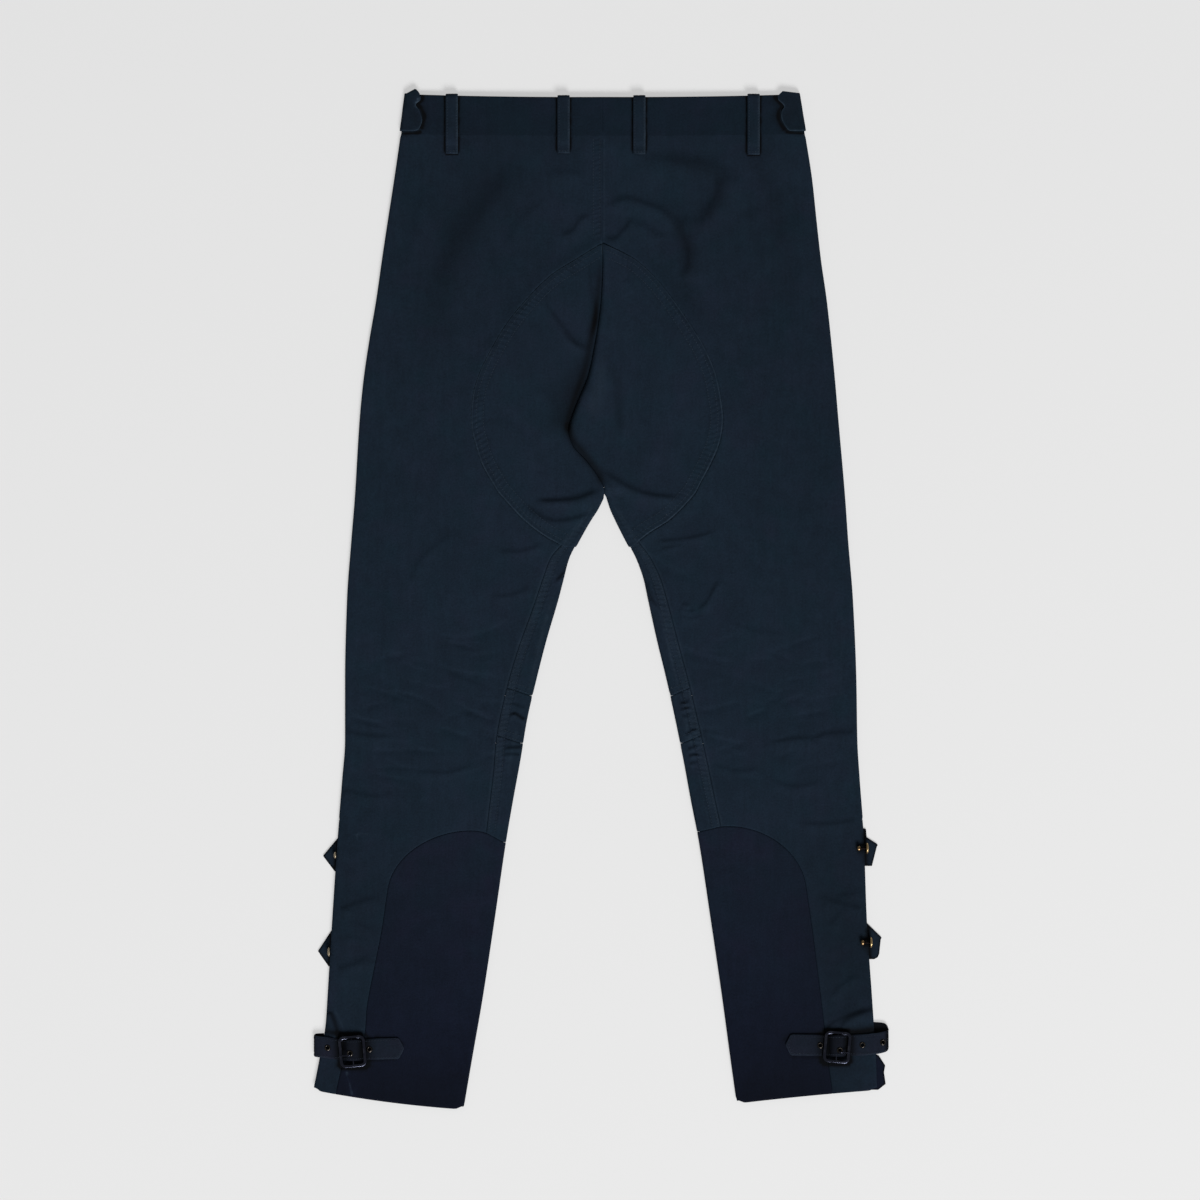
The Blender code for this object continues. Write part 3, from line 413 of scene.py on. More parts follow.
class Line:
    """A given line on the cloth."""

    def __init__(self, points, reach, step=1.5):
        self.at = smooth(points, step) if len(points) > 2 else even(points, step)
        self.ahead = unit(np.gradient(self.at, axis=0))
        self.arc = arc_of(self.at)
        self.reach = reach
        self.low, self.high = self.at.min(0) - reach, self.at.max(0) + reach
        mean = self.ahead.mean(0)
        self.sign = 1.0 if np.dot((-mean[1], mean[0]), LIGHT_SIDE) > 0 else -1.0

    def near(self, across, down):
        """Which points lie near, their distance off towards the light, and their distance along."""
        box = (across > self.low[0]) & (across < self.high[0])
        box &= (down > self.low[1]) & (down < self.high[1])
        found = np.nonzero(box)[0]
        if not len(found):
            return found, None, None
        places = np.stack([across[found], down[found]], 1)
        nearest = np.empty(len(found), int)
        for start in range(0, len(found), 4000):
            part = places[start : start + 4000]
            apart = ((part[:, None, :] - self.at[None]) ** 2).sum(2)
            nearest[start : start + 4000] = apart.argmin(1)
        away = places - self.at[nearest]
        ahead = self.ahead[nearest]
        off = (ahead[:, 0] * away[:, 1] - ahead[:, 1] * away[:, 0]) * self.sign
        along = self.arc[nearest] + (ahead * away).sum(1)
        past = np.maximum(np.maximum(-along, along - self.arc[-1]), 0)
        close = np.hypot(off, past) < self.reach
        return found[close], off[close], along[close]


creases, puckers, streaks, swells, tints = [], [], [], [], []
STRENGTH = 1.55  # every crease is this much deeper than its own figure


def crease(height, dark, light, *points, ends=(0.2, 0.2), grow=(1, 1), tone=0.0):
    """A soft fold. Dark and light are the widths of its flanks away from and towards the light; its
    tone is painted shade along its dark line.
    """
    reach = 3.2 * max(dark, light) * max(grow)
    creases.append((Line(points, reach), STRENGTH * height, dark, light, ends, grow, tone))


def pucker(height, pitch, width, offset, *points, ends=(0.05, 0.05), seed=0, step=1.5):
    """Small ripples across a stitched line, an uneven distance apart."""
    line = Line(points, abs(offset) + 2.6 * width, step)
    puckers.append((line, height, pitch, width, offset, ends, seed))


def streak(tone, width, *points, ends=(0.15, 0.15), offset=0.0):
    """A line made paler where the tone is above zero, for worn dye and for painted highlights, and
    darker where it is below zero, mostly as painted shade.
    """
    streaks.append((Line(points, 3 * width + abs(offset)), tone, width, ends, offset))


def swell(height, across, down, wide, tall, turn=0.0):
    """A broad soft rise or hollow."""
    swells.append((height, across, down, wide, tall, math.radians(turn)))


def tint(tone, across, down, wide, tall, turn=0.0):
    """A broad patch made darker where the tone is below zero and paler where it is above: used for
    uneven colour, and for painted shade and painted highlights at small places.
    """
    tints.append((tone, across, down, wide, tall, math.radians(turn)))


def blob(x, y, across, down, wide, tall, turn):
    """A soft oval round (x, y), read at the places (across, down)."""
    away_x, away_y = across - x, down - y
    s = away_x * math.cos(turn) + away_y * math.sin(turn)
    t = away_y * math.cos(turn) - away_x * math.sin(turn)
    return bell(s, wide) * bell(t, tall)


def fade(line, along, ends):
    """Dies out towards both ends of a line, over the given shares of its length."""
    share = along / line.arc[-1]
    start, end = max(ends[0], 1e-3), max(ends[1], 1e-3)
    return ease(share, -0.3 * start, start) * (1 - ease(share, 1 - end, 1 + 0.3 * end))


def relief(across, down):
    """Height over the plain form, and tone, at places on the back layer."""
    height = 0.32 * noise(across, down, 64, 1) + 0.16 * noise(across, down, 27, 2)
    height += 0.05 * noise(across, down, 9, 3)
    tone = np.zeros_like(height)
    for rise, x, y, wide, tall, turn in swells:
        height += rise * blob(x, y, across, down, wide, tall, turn)
    for amount, x, y, wide, tall, turn in tints:
        tone += amount * blob(x, y, across, down, wide, tall, turn)
    for line, rise, dark, light, ends, grow, shade in creases:
        found, off, along = line.near(across, down)
        if not len(found):
            continue
        share = np.clip(along / line.arc[-1], 0, 1)
        scale = grow[0] + (grow[1] - grow[0]) * share
        crest = 0.7 * dark * scale
        width = np.where(off < crest, dark, light) * scale
        weight = fade(line, along, ends)
        height[found] += rise * scale**0.5 * weight * bell(off - crest, width)
        # Painted shade along the crease's dark line.
        tone[found] += shade * weight * bell(off, dark * scale)
    for line, rise, pitch, width, offset, ends, seed in puckers:
        found, off, along = line.near(across, down)
        if not len(found):
            continue
        wander = noise(along, off * 0 + seed, 5 * pitch, 11) * 0.9 * pitch
        strong = 0.65 + 0.35 * noise(along, off * 0 + seed, 7 * pitch, 12)
        lean = 0.35 * (off - offset)
        wave = np.sin(2 * math.pi * (along + wander + lean) / pitch)
        shape = strong * fade(line, along, ends) * bell(off - offset, width)
        height[found] += rise * wave * shape
        tone[found] += 0.10 * np.maximum(wave, 0) * shape
    for line, shade, width, ends, offset in streaks:
        found, off, along = line.near(across, down)
        if len(found):
            broken = 0.72 + 0.4 * noise(along, off, 6, 13) if width < 2.5 else 1.0
            tone[found] += shade * broken * fade(line, along, ends) * bell(off - offset, width)
    return height, tone


# The leg's wall.


CENTRE = Curve(CENTRE_SEAM, "across")
SEAT_FOLD, SEAT_LIFT = Curve(SEAT, "fold"), Curve(SEAT, "lift")
AROUND = math.pi * ROLL  # length of a rolled edge, from one layer to the other


class Leg:
    """One half of the garment: side is -1 on the left and 1 on the right."""

    def __init__(self, side):
        self.side = side
        self.name = "left" if side < 0 else "right"
        self.calf = CALF[side]
        self.outer = Curve(OUTLINE, self.name)
        self.leg_inner = Curve(INNER_EDGE, self.name)
        self.fall, self.bow = Curve(SLOPE[side], "fall"), Curve(SLOPE[side], "bow")
        self.inseam = Curve(INSEAM, self.name)
        self.calf_spread = Curve(CALF_SPREAD, self.name)
        self.seat_edge = Curve(SEAT, self.name)

    def inner(self, down):
        on_leg = ease(down, PELVIS_END, CROTCH)
        return CENTRE(down) * (1 - on_leg) + self.leg_inner(np.maximum(down, CROTCH)) * on_leg

    def girth(self, down):
        return np.abs(self.inner(down + self.fall(down)) - self.outer(down))

    def flat(self, down):
        """The flat stretch of a row: the legs roll at both edges, the pelvis only at the side."""
        return self.girth(down) - EDGE - EDGE * ease(down, PELVIS_END, CROTCH)

    def along(self, across, down):
        return np.abs(across - self.outer(down)) - EDGE

    def seam(self, down):
        """Where the back panel meets the centre seam or, on the leg, the inseam."""
        return self.flat(down) - self.inseam(down)

    def crown(self, along, down):
        share = along / self.flat(down)
        on_leg = ease(down, 360, 440)
        pelvis = share * (2 - share)
        leg = 4 * share * (1 - share)
        return CROWN * np.maximum(pelvis * (1 - on_leg) + leg * on_leg, 0.0)

    def point(self, inside, down, height):
        share = np.clip(inside / self.girth(down), 0.0, 1.0)
        drop = self.fall(down) * share + self.bow(down) * 4 * share * (1 - share)
        across = self.outer(down) - self.side * inside
        return np.stack(np.broadcast_arrays(across, WAIST_Y - down - drop, height), -1)

    def corner(self, u, v):
        """How far the cloth is drawn up towards the hem's rounded corners."""
        flat = self.flat(v)
        from_edge = np.minimum(np.abs(u + AROUND / 2), np.abs(u - flat - AROUND / 2)) - AROUND / 2
        return HEM_CORNER * bell(np.maximum(from_edge, 0), 3.5) * ease(v, HEM - 30, HEM)

    def wall(self, u, v, lift=CLOTH / 2, plain=False):
        """Place, way out and tone on the wall, lift away from its middle."""
        u, v = np.asarray(u, float), np.asarray(v, float)
        v = v - self.corner(u, v)
        flat = self.flat(v)
        low = u < flat / 2
        over = np.where(low, -u, u - flat)
        turn = np.clip(over / ROLL, 0, math.pi)
        past = np.maximum(over - AROUND, 0)
        edge = np.where(low, -1.0, 1.0)
        under = np.where(low, past, flat - past)
        along = np.where(turn >= math.pi, under, np.clip(u, 0, flat))
        on_back = (1 + np.cos(turn)) / 2
        height = CLOTH / 2 + (2 * ROLL + self.crown(along, v)) * on_back
        inside = EDGE + along + edge * ROLL * np.sin(turn)
        out = np.stack([-self.side * edge * np.sin(turn), 0 * turn, np.cos(turn)], -1)
        place = self.point(inside, v, height) + out * lift
        if plain:
            return place, out, 0 * turn
        rise, tone = relief(place[:, 0], WAIST_Y - place[:, 1])
        calm = ease(v, 0, BAND + 20) * 0.75 + 0.25
        hidden = 0.3 * np.abs(rise) * (1 - on_back)
        place[:, 2] += (rise * on_back + hidden) * calm
        return place, out, tone * on_back

    def find(self, across, down):
        """(u, v) of a place on the back layer."""
        v = np.asarray(down, float)
        for _ in range(6):
            u = self.along(across, v)
            share = np.clip((u + EDGE) / self.girth(v), 0, 1)
            v = down - self.fall(v) * share - self.bow(v) * 4 * share * (1 - share)
        return self.along(across, v), v


LEGS = (Leg(-1), Leg(1))


# The calf patch's seams.


def arch_point(leg, share, gap):
    """A point of the arch, from 0 at its outer foot to 2 at its crest, as (u, v)."""
    calf = leg.calf
    angle = share * math.pi / 4
    reach = calf["crest_reach"] + (calf["reach"] - calf["crest_reach"] + gap) * math.cos(angle)
    v = calf["crest"] + calf["rise"] - (calf["rise"] + gap) * math.sin(angle)
    return float(leg.flat(v)) + EDGE - reach, v


def calf_crest(leg, u):
    """Height of the top seam between its crest and the inner edge."""
    calf = leg.calf
    reach = float(leg.flat(calf["crest"])) + EDGE - u
    share = min(max(1 - (reach - EDGE) / (calf["crest_reach"] - EDGE), 0.0), 1.0)
    return calf["crest"] + (calf["edge"] - calf["crest"]) * share**2


def calf_top(leg, gap, last):
    """The top seam from the arch's outer foot to u = last."""
    arch = [arch_point(leg, share / 12, gap) for share in range(25)]
    rest = np.linspace(arch[-1][0], last, 12)[1:]
    return arch + [(u, calf_crest(leg, u) - gap) for u in rest]


def calf_side(leg, gap):
    """The outer seam, from the arch's foot down to the hem."""
    v = np.linspace(leg.calf["crest"] + leg.calf["rise"], HEM, 40)[1:]
    reach = leg.calf["reach"] + leg.calf_spread(v)
    return np.stack([leg.flat(v) + EDGE - reach - gap, v], 1)


# Cloth.


def column(function, start, end):
    """A side of a cut shape, where u is a function of v."""
    v = np.linspace(start, end, max(int(abs(end - start) / 1.5), 2))
    return np.stack([np.broadcast_to(function(v), v.shape), v], 1)


def area_of(loop):
    """The area inside a loop, below zero where it runs clockwise."""
    return np.sum(loop[:, 0] * np.roll(loop[:, 1], -1) - np.roll(loop[:, 0], -1) * loop[:, 1]) / 2


def outline(*runs, step=2.4):
    """A closed cut shape from its sides, with points at an even step and the corners kept."""
    sides = []
    for i, run in enumerate(runs):
        run = np.array(run, float)
        following = np.array(runs[(i + 1) % len(runs)][0], float)
        if np.linalg.norm(run[-1] - following) > 0.05:
            run = np.vstack([run, following])
        sides.append(even(run, step)[:-1])
    loop = np.vstack(sides)
    return loop if area_of(loop) > 0 else loop[::-1]


def polygon(corners, step):
    """A cut shape from its corners."""
    corners = [tuple(corner) for corner in corners]
    return outline(*zip(corners, [*corners[1:], corners[0]]), step=step)


def inward(loop, distance):
    """The loop's points moved into the cloth. It expects them anticlockwise."""
    ahead = unit(np.roll(loop, -1, 0) - np.roll(loop, 1, 0))
    return loop + np.stack([-ahead[:, 1], ahead[:, 0]], 1) * distance


def hexagons(low, high, step):
    """Staggered points over a rectangle."""
    rows = max(int((high[1] - low[1]) / (step * 0.87)), 1)
    found = []
    for i, v in enumerate(np.linspace(low[1], high[1], rows)):
        u = np.arange(low[0] + step * (i % 2) / 2, high[0], step)
        found.append(np.stack([u, np.full_like(u, v)], 1))
    return np.vstack(found)


def leg_fill(leg, loop, step, finest=None):
    """Points inside a leg's panel: fine on the back, finest beside creases and seams, coarse below."""
    low, high = loop.min(0), loop.max(0)
    v = np.linspace(low[1], high[1], max(int((high[1] - low[1]) / 4), 2))
    flat = leg.flat(v)
    found = []
    for k in range(0, 9):
        if low[0] < 0:
            found.append(np.stack([0 * v - AROUND * k / 8, v], 1))
        if high[0] > flat.min():
            found.append(np.stack([flat + AROUND * k / 8, v], 1))
    for size in (step, finest):
        if size is None:
            continue
        grid = hexagons(low, high, size)
        flat = leg.flat(grid[:, 1])
        grid = grid[(grid[:, 0] > size / 2) & (grid[:, 0] < flat - size / 2)]
        if finest is not None:
            places, _, _ = leg.wall(grid[:, 0], grid[:, 1], plain=True)
            near = detailed(places)
            grid = grid[near if size == finest else ~near]
        found.append(grid)
    grid = hexagons(low, high, 12)
    flat = leg.flat(grid[:, 1])
    under = (grid[:, 0] < -AROUND - 2) | (grid[:, 0] > flat + AROUND + 2)
    found.append(grid[under])
    return np.vstack(found)


RINGS = (0.35, 0.9, 1.7)  # distances in from a cut edge at which its rounding is drawn
ROUND = 1.2  # the rounding dies out this far in


def within(loop, places):
    """Which places lie inside a closed loop."""
    found = np.zeros(len(places), bool)
    x, y = places[:, 0], places[:, 1]
    for (x1, y1), (x2, y2) in zip(loop, np.roll(loop, -1, 0)):
        spans = (y1 > y) != (y2 > y)
        rise = y2 - y1 if y2 != y1 else 1.0
        found ^= spans & (x < (x2 - x1) * (y - y1) / rise + x1)
    return found


def triangles(loops, fill, rings=RINGS):
    """Fills cut shapes with triangles: points, each point's distance in, corners, and the loops."""
    points = np.vstack(loops)
    depth = np.zeros(len(points))
    sides, first = [], 0
    for loop in loops:
        sides += [(first + i, first + (i + 1) % len(loop)) for i in range(len(loop))]
        first += len(loop)
    border = np.vstack([even(np.vstack([loop, loop[:1]]), 0.5) for loop in loops])
    edge = kdtree.KDTree(len(border))
    for i, (u, v) in enumerate(border):
        edge.insert((u, v, 0), i)
    edge.balance()
    for ring in rings:
        moved = np.vstack([inward(loop, ring) for loop in loops])
        clear = np.array([edge.find((u, v, 0))[2] > 0.93 * ring for u, v in moved])
        points = np.vstack([points, moved[clear]])
        depth = np.concatenate([depth, np.full(clear.sum(), ring)])
    away = np.array([edge.find((u, v, 0))[2] for u, v in fill]) if len(fill) else np.zeros(0)
    margin = (rings[-1] if rings else 0.5) + 0.7
    kept = away > margin
    points = np.vstack([points, fill[kept]]) if len(fill) else points
    depth = np.concatenate([depth, away[kept]])
    spots = [Vector(point) for point in points]
    made, _, faces, sources, *_ = delaunay_2d_cdt(spots, sides, [], 1, 1e-5)
    where, faces = np.array([tuple(point) for point in made]), np.array(faces)
    first_of = np.array([source[0] if source else -1 for source in sources])
    for hole in loops[1:]:
        faces = faces[~within(hole, where[faces].mean(1))]
    used, faces = np.unique(faces.reshape(-1), return_inverse=True)
    first_of = first_of[used]
    return where[used], depth[first_of], faces.reshape(-1, 3), first_of


def smooth_mesh(name, points, faces, tone=None, sharp=35):
    """A mesh object from millimetre points, shaded smooth but for its sharp edges."""
    data = bpy.data.meshes.new(name)
    data.from_pydata((np.asarray(points) * MM).tolist(), [], [list(face) for face in faces])
    data.update()
    data.shade_smooth()
    data.set_sharp_from_angle(angle=math.radians(sharp))
    if tone is not None:
        data.attributes.new("tone", "FLOAT", "POINT").data.foreach_set("value", tone)
    made = bpy.data.objects.new(name, data)
    bpy.context.scene.collection.objects.link(made)
    return made


def shell(name, loops, fill, place, wall, edge_drop=0.45, rings=RINGS):
    """A closed thin shell of cloth: cut shapes, laid out by place(u, v) as its outer face.

    fill(outer) gives the points inside them, for the outer face or the plainer inner one.
    """
    count = sum(len(loop) for loop in loops)
    spots, depth, top, first = triangles(loops, fill(True), rings)
    outer, out, tone = place(spots[:, 0], spots[:, 1])
    share = np.clip(1 - depth / ROUND, 0, 1)
    drop = edge_drop(spots[:, 1]) if callable(edge_drop) else edge_drop
    outer = outer - out * (drop * share**2)[:, None]
    spots_in, _, bottom, first_in = triangles(loops, fill(False), ())
    inner, out_in, inner_tone = place(spots_in[:, 0], spots_in[:, 1])
    inner = inner - out_in * wall
    rim_out = {source: i for i, source in enumerate(first) if 0 <= source < count}
    rim_in = {source: i for i, source in enumerate(first_in) if 0 <= source < count}
    shift = len(outer)
    faces = [tuple(face) for face in top]
    faces += [tuple(face[::-1] + shift) for face in bottom]
    start = 0
    for loop in loops:
        for i in range(len(loop)):
            a, b = start + i, start + (i + 1) % len(loop)
            faces.append((rim_out[b], rim_out[a], rim_in[a] + shift, rim_in[b] + shift))
        start += len(loop)
    a, b, c = (outer[top[0][k]] for k in range(3))
    if np.dot(np.cross(b - a, c - a), out[top[0][0]]) < 0:
        faces = [face[::-1] for face in faces]
    points = np.vstack([outer, inner])
    return smooth_mesh(name, points, faces, np.concatenate([tone, np.minimum(inner_tone, 0)]))


def cut_size(loop):
    """Width, length and area of a cut shape, in metres."""
    wide, long = (loop.max(0) - loop.min(0)) * MM
    return float(wide), float(long), float(abs(area_of(loop)) * MM * MM)


def keep(piece, look, slot, *nodes):
    """Gives a piece its look and its body, and hides the CAD nodes that it stands for. Its slot is not
    used.
    """
    piece.data.materials.append(look)
    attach(piece, "root")
    if nodes:
        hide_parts(*nodes)
    return piece


# Panels.


SHELL = 1.0  # thickness of the cloth
NOSE = 1.5  # the seat fold stands this much higher than its plain form
UNDER = -AROUND - SIDE_UNDER  # where the back panel ends, under the side
HALF_ROLL = -AROUND / 2
SEWN = 0.12  # the rounded edges of the two halves meet this far in at the centre seam


def sewn(loop):
    """Works out a piece's flat cut size, with no area for a rectangle, and keeps nothing."""
    wide, long, area = cut_size(loop)
    if area > 0.999 * wide * long:
        area = None


def back_loop(leg):
    inner = leg.calf["crest"]

    def seam(v):
        return leg.seam(v) + SEWN - (SEWN + GAP / 2) * ease(v, PELVIS_END - 20, CROTCH)

    last = float(seam(inner))
    top = calf_top(leg, GAP / 2, last)
    side = calf_side(leg, GAP / 2)
    return outline(
        [(UNDER, BAND), (float(seam(BAND)), BAND)],
        column(seam, BAND, top[-1][1]),
        top[::-1],
        side,
        [(side[-1][0], HEM), (HALF_ROLL, HEM)],
        [(HALF_ROLL, HEM), (HALF_ROLL, VENT)],
        [(HALF_ROLL, VENT), (UNDER, VENT)],
        [(UNDER, VENT), (UNDER, BAND)],
    )


def calf_loop(leg):
    flat, edge = leg.flat, leg.calf["edge"] + GAP / 2
    seam = float(flat(leg.calf["crest"]) - leg.inseam(leg.calf["crest"])) + GAP / 2
    top = [(u, v) for u, v in calf_top(leg, -GAP / 2, seam)]
    corner = edge + CALF_FRONT_DROP
    reach = AROUND + CALF_FRONT - GAP / 2
    side = calf_side(leg, -GAP / 2)[::-1]
    return outline(
        top,
        [(seam, top[-1][1]), (float(flat(edge)), edge), (float(flat(edge)) + AROUND, edge)],
        [(float(flat(edge)) + AROUND, edge), (float(flat(corner)) + reach, corner)],
        column(lambda v: flat(v) + reach, corner, HEM),
        [(float(flat(HEM)) + reach, HEM), (side[0][0], HEM)],
        side,
    )


def floor_edge(leg, v):
    """Where the front layer ends, beside the turned-under edge of the back."""
    return 2 * leg.flat(v) + AROUND - SIDE_UNDER - GAP


def slanted(leg, low, high):
    """The line across a front panel's end: from the inseam down to the roll, then level."""
    seam, flat = float(leg.seam(low)) + GAP / 2, float(leg.flat(high))
    return [(seam, low), (flat, high), (flat + AROUND, high), (float(floor_edge(leg, high)), high)]


def dipped(leg, v, columns):
    """A row of the front layer near the waist, which is cut lower at its middle."""
    flat = leg.flat(v)
    along = flat - (columns - AROUND - flat)
    return np.stack([columns, v + FRONT_DIP * ease(along / flat, 0, 1)], 1)


def front_loops(leg):
    """The thigh, knee and shin panels, which roll over the inner edge on to the back."""
    half = GAP / 2

    def centre(v):
        return leg.flat(v) + AROUND + half

    def seam(v):
        return leg.seam(v) + half

    def side(v):
        return floor_edge(leg, v)

    waist = dipped(leg, BAND, np.linspace(float(centre(BAND)), float(floor_edge(leg, BAND)), 40))
    thigh_end = slanted(leg, KNEE_TOP - half, KNEE_TOP + KNEE_DIP - half)
    thigh = outline(
        waist,
        column(side, BAND, KNEE_TOP + KNEE_DIP - half),
        thigh_end[::-1],
        column(seam, KNEE_TOP - half, CROTCH),
        [(float(seam(CROTCH)), CROTCH), (float(centre(CROTCH)), CROTCH)],
        column(centre, CROTCH, BAND + FRONT_DIP),
    )
    knee_start = slanted(leg, KNEE_TOP + half, KNEE_TOP + KNEE_DIP + half)
    knee_end = slanted(leg, KNEE_BOTTOM - half, KNEE_BOTTOM + KNEE_DIP - half)
    knee = outline(
        knee_start,
        column(side, knee_start[-1][1], knee_end[-1][1]),
        knee_end[::-1],
        column(seam, KNEE_BOTTOM - half, KNEE_TOP + half),
    )
    shin_start = slanted(leg, KNEE_BOTTOM + half, KNEE_BOTTOM + KNEE_DIP + half)
    edge = leg.calf["edge"] - half
    corner = edge + CALF_FRONT_DROP
    reach = AROUND + CALF_FRONT + half
    last = float(leg.flat(leg.calf["crest"]) - leg.inseam(leg.calf["crest"])) + half
    crest = calf_crest(leg, last) - half
    shin = outline(
        shin_start,
        column(side, shin_start[-1][1], HEM),
        [(float(floor_edge(leg, HEM)), HEM), (float(leg.flat(HEM)) + reach, HEM)],
        column(lambda v: leg.flat(v) + reach, HEM, corner),
        [(float(leg.flat(corner)) + reach, corner), (float(leg.flat(edge)) + AROUND, edge)],
        [(float(leg.flat(edge)) + AROUND, edge), (float(leg.flat(edge)), edge), (last, crest)],
        column(seam, crest, KNEE_BOTTOM + half),
    )
    return {"thigh": thigh, "knee": knee, "shin": shin}


def waistband_loops(leg):
    end = BAND - 0.08
    back = outline(
        [(UNDER, 0), (float(leg.flat(0)) + SEWN, 0)],
        column(lambda v: leg.flat(v) + SEWN, 0, end),
        [(float(leg.flat(end)) + SEWN, end), (UNDER, end)],
        [(UNDER, end), (UNDER, 0)],
    )
    rows = []
    for v in (0.0, end):
        start = float(leg.flat(v)) + AROUND + GAP / 2
        rows.append(dipped(leg, v, np.linspace(start, float(floor_edge(leg, v)), 40)))
    front = outline(rows[0], [rows[0][-1], rows[1][-1]], rows[1][::-1], [rows[1][0], rows[0][0]])
    return back, front


class SeatPatch:
    """Half of the seat patch. The right half ends in a soft fold whose nose meets the left half."""

    LEVEL = CLOTH / 2 + GAP + PATCH / 2
    WRAP = ROLL + LEVEL  # radius of the turn over the leg's inner edge

    def __init__(self, leg):
        self.leg = leg

    def nose(self, v):
        """Where the turned nose begins, its radius, and how far it stands above the patch."""
        leg = self.leg
        wraps = ease(v, 404, CROTCH)
        stands = NOSE * SEAT_LIFT(v) * (1 - wraps) if leg.side > 0 else 0 * wraps
        fold = leg.along(SEAT_FOLD(v), v)
        begin = fold - (stands if leg.side > 0 else GAP + PATCH / 2)
        return begin * (1 - wraps) + leg.flat(v) * wraps, stands + self.WRAP * wraps, stands

    def end(self, v):
        begin, radius, _ = self.nose(v)
        return begin + radius * math.pi / 2

    def edge(self, v):
        return self.leg.along(self.leg.seat_edge(v), v)

    def place(self, u, v, lift=None):
        leg = self.leg
        lift = PATCH / 2 if lift is None else lift
        begin, radius, stands = self.nose(v)
        along = np.minimum(u, begin)
        turn = np.clip((u - begin) / np.maximum(radius, 0.01), 0, math.pi / 2)
        rise = stands * ease(along, begin - FOLD_REACH, begin)
        height = CLOTH / 2 + 2 * ROLL + leg.crown(np.minimum(along, 2 * leg.flat(v)), v)
        height = height + self.LEVEL + rise - radius * (1 - np.cos(turn))
        inside = EDGE + along + radius * np.sin(turn)
        out = np.stack([-leg.side * np.sin(turn), 0 * turn, np.cos(turn)], -1)
        place = leg.point(inside, v, height) + out * lift
        shape, tone = relief(place[:, 0], WAIST_Y - place[:, 1])
        place[:, 2] += shape * (1 - 0.5 * turn / (math.pi / 2))
        return place, out, tone

    def loop(self):
        v = np.arange(154.0, 200.0, 0.25)
        wide = self.end(v) - self.edge(v)
        top = float(v[np.argmax(wide > 2.0)])
        bottom = SEAT["down"][-1]
        return outline(
            column(self.edge, bottom, top),
            [(float(self.edge(top)), top), (float(self.end(top)), top)],
            column(self.end, top, bottom),
            [(float(self.end(bottom)), bottom), (float(self.edge(bottom)), bottom)],
            step=1.8,
        )


# Hips: soft drag lines below the waistband.

crease(1.2, 4.5, 10.0, (6, 116), (26, 107), (47, 112), (68, 121), (80, 136), tone=-0.12)
crease(1.7, 5.0, 14.0, (76, 130), (87, 149), (91, 162), (90, 177), (85, 191), tone=-0.16)
crease(0.9, 3.5, 8.0, (6, 148), (16, 148), (27, 137), (34, 127), tone=-0.1)
crease(0.6, 4.0, 9.0, (40, 131), (57, 142), (70, 148))
crease(1.1, 8.0, 14.0, (42, 63), (83, 67), (109, 70), (127, 76), (140, 85), (148, 98), (157, 107))
crease(1.2, 6.0, 12.0, (124, 84), (121, 103), (110, 121), (100, 140), tone=-0.08)
crease(0.8, 5.0, 10.0, (150, 120), (163, 150), (168, 182), tone=-0.05)
crease(0.8, 3.5, 8.0, (-10, 123), (-20, 129), (-28, 140), (-41, 146), tone=-0.1)
crease(0.6, 5.0, 9.0, (-12, 84), (-34, 80), (-58, 84))
crease(
    1.5, 14.0, 28.0, (-84, 67), (-103, 93), (-125, 121), (-146, 145), (-157, 176), (-163, 212),
    tone=-0.03,
)
crease(0.9, 8.0, 16.0, (-186, 96), (-192, 140), (-200, 182))
crease(0.7, 6.0, 12.0, (-60, 108), (-84, 132), (-100, 160))
crease(0.7, 7.0, 14.0, (196, 120), (203, 160), (208, 205))
swell(1.5, -60, 190, 38, 60)
swell(1.2, 64, 200, 34, 56)
swell(-0.8, 160, 240, 30, 70, turn=10)

# Seat, left of the fold.
crease(0.75, 2.4, 5.0, (-56, 215), (-41, 234), (-25, 255), (-10, 263), grow=(0.8, 1.5), tone=-0.18)
crease(0.6, 2.2, 5.0, (-51, 224), (-36, 247), (-20, 262), tone=-0.08)
crease(
    1.5, 3.2, 8.0, (-66, 418), (-45, 418), (-24, 416), (-10, 411), (1, 407),
    grow=(0.7, 1.4), tone=-0.3,
)
crease(0.9, 3.0, 6.0, (-77, 422), (-61, 434), (-45, 439), (-25, 436), (-8, 431), tone=-0.14)
crease(0.8, 3.0, 7.0, (-9, 176), (-8, 201), (-3, 227), (-6, 248), tone=-0.15)
crease(0.6, 5.0, 9.0, (-100, 330), (-78, 352), (-58, 384))
crease(0.6, 4.0, 8.0, (-62, 300), (-44, 322), (-36, 346))

# Seat, right of the fold: a soft bulge beside it, and drag lines to the crotch.
crease(1.2, 5.5, 10.0, (5, 275), (13, 284), (18, 304), (20, 325), (23, 354), tone=-0.2)
crease(
    1.4, 3.8, 9.0, (1, 385), (15, 395), (34, 406), (54, 412), (83, 415),
    grow=(1.2, 0.7), tone=-0.2,
)
crease(0.8, 2.6, 5.0, (7, 397), (13, 407), (19, 420), tone=-0.12)
crease(0.4, 3.0, 6.0, (29, 190), (35, 205))
crease(0.4, 3.0, 6.0, (47, 222), (57, 238))
crease(0.5, 4.0, 8.0, (44, 330), (58, 352), (64, 378))
crease(0.5, 5.0, 9.0, (80, 270), (92, 300), (96, 334))
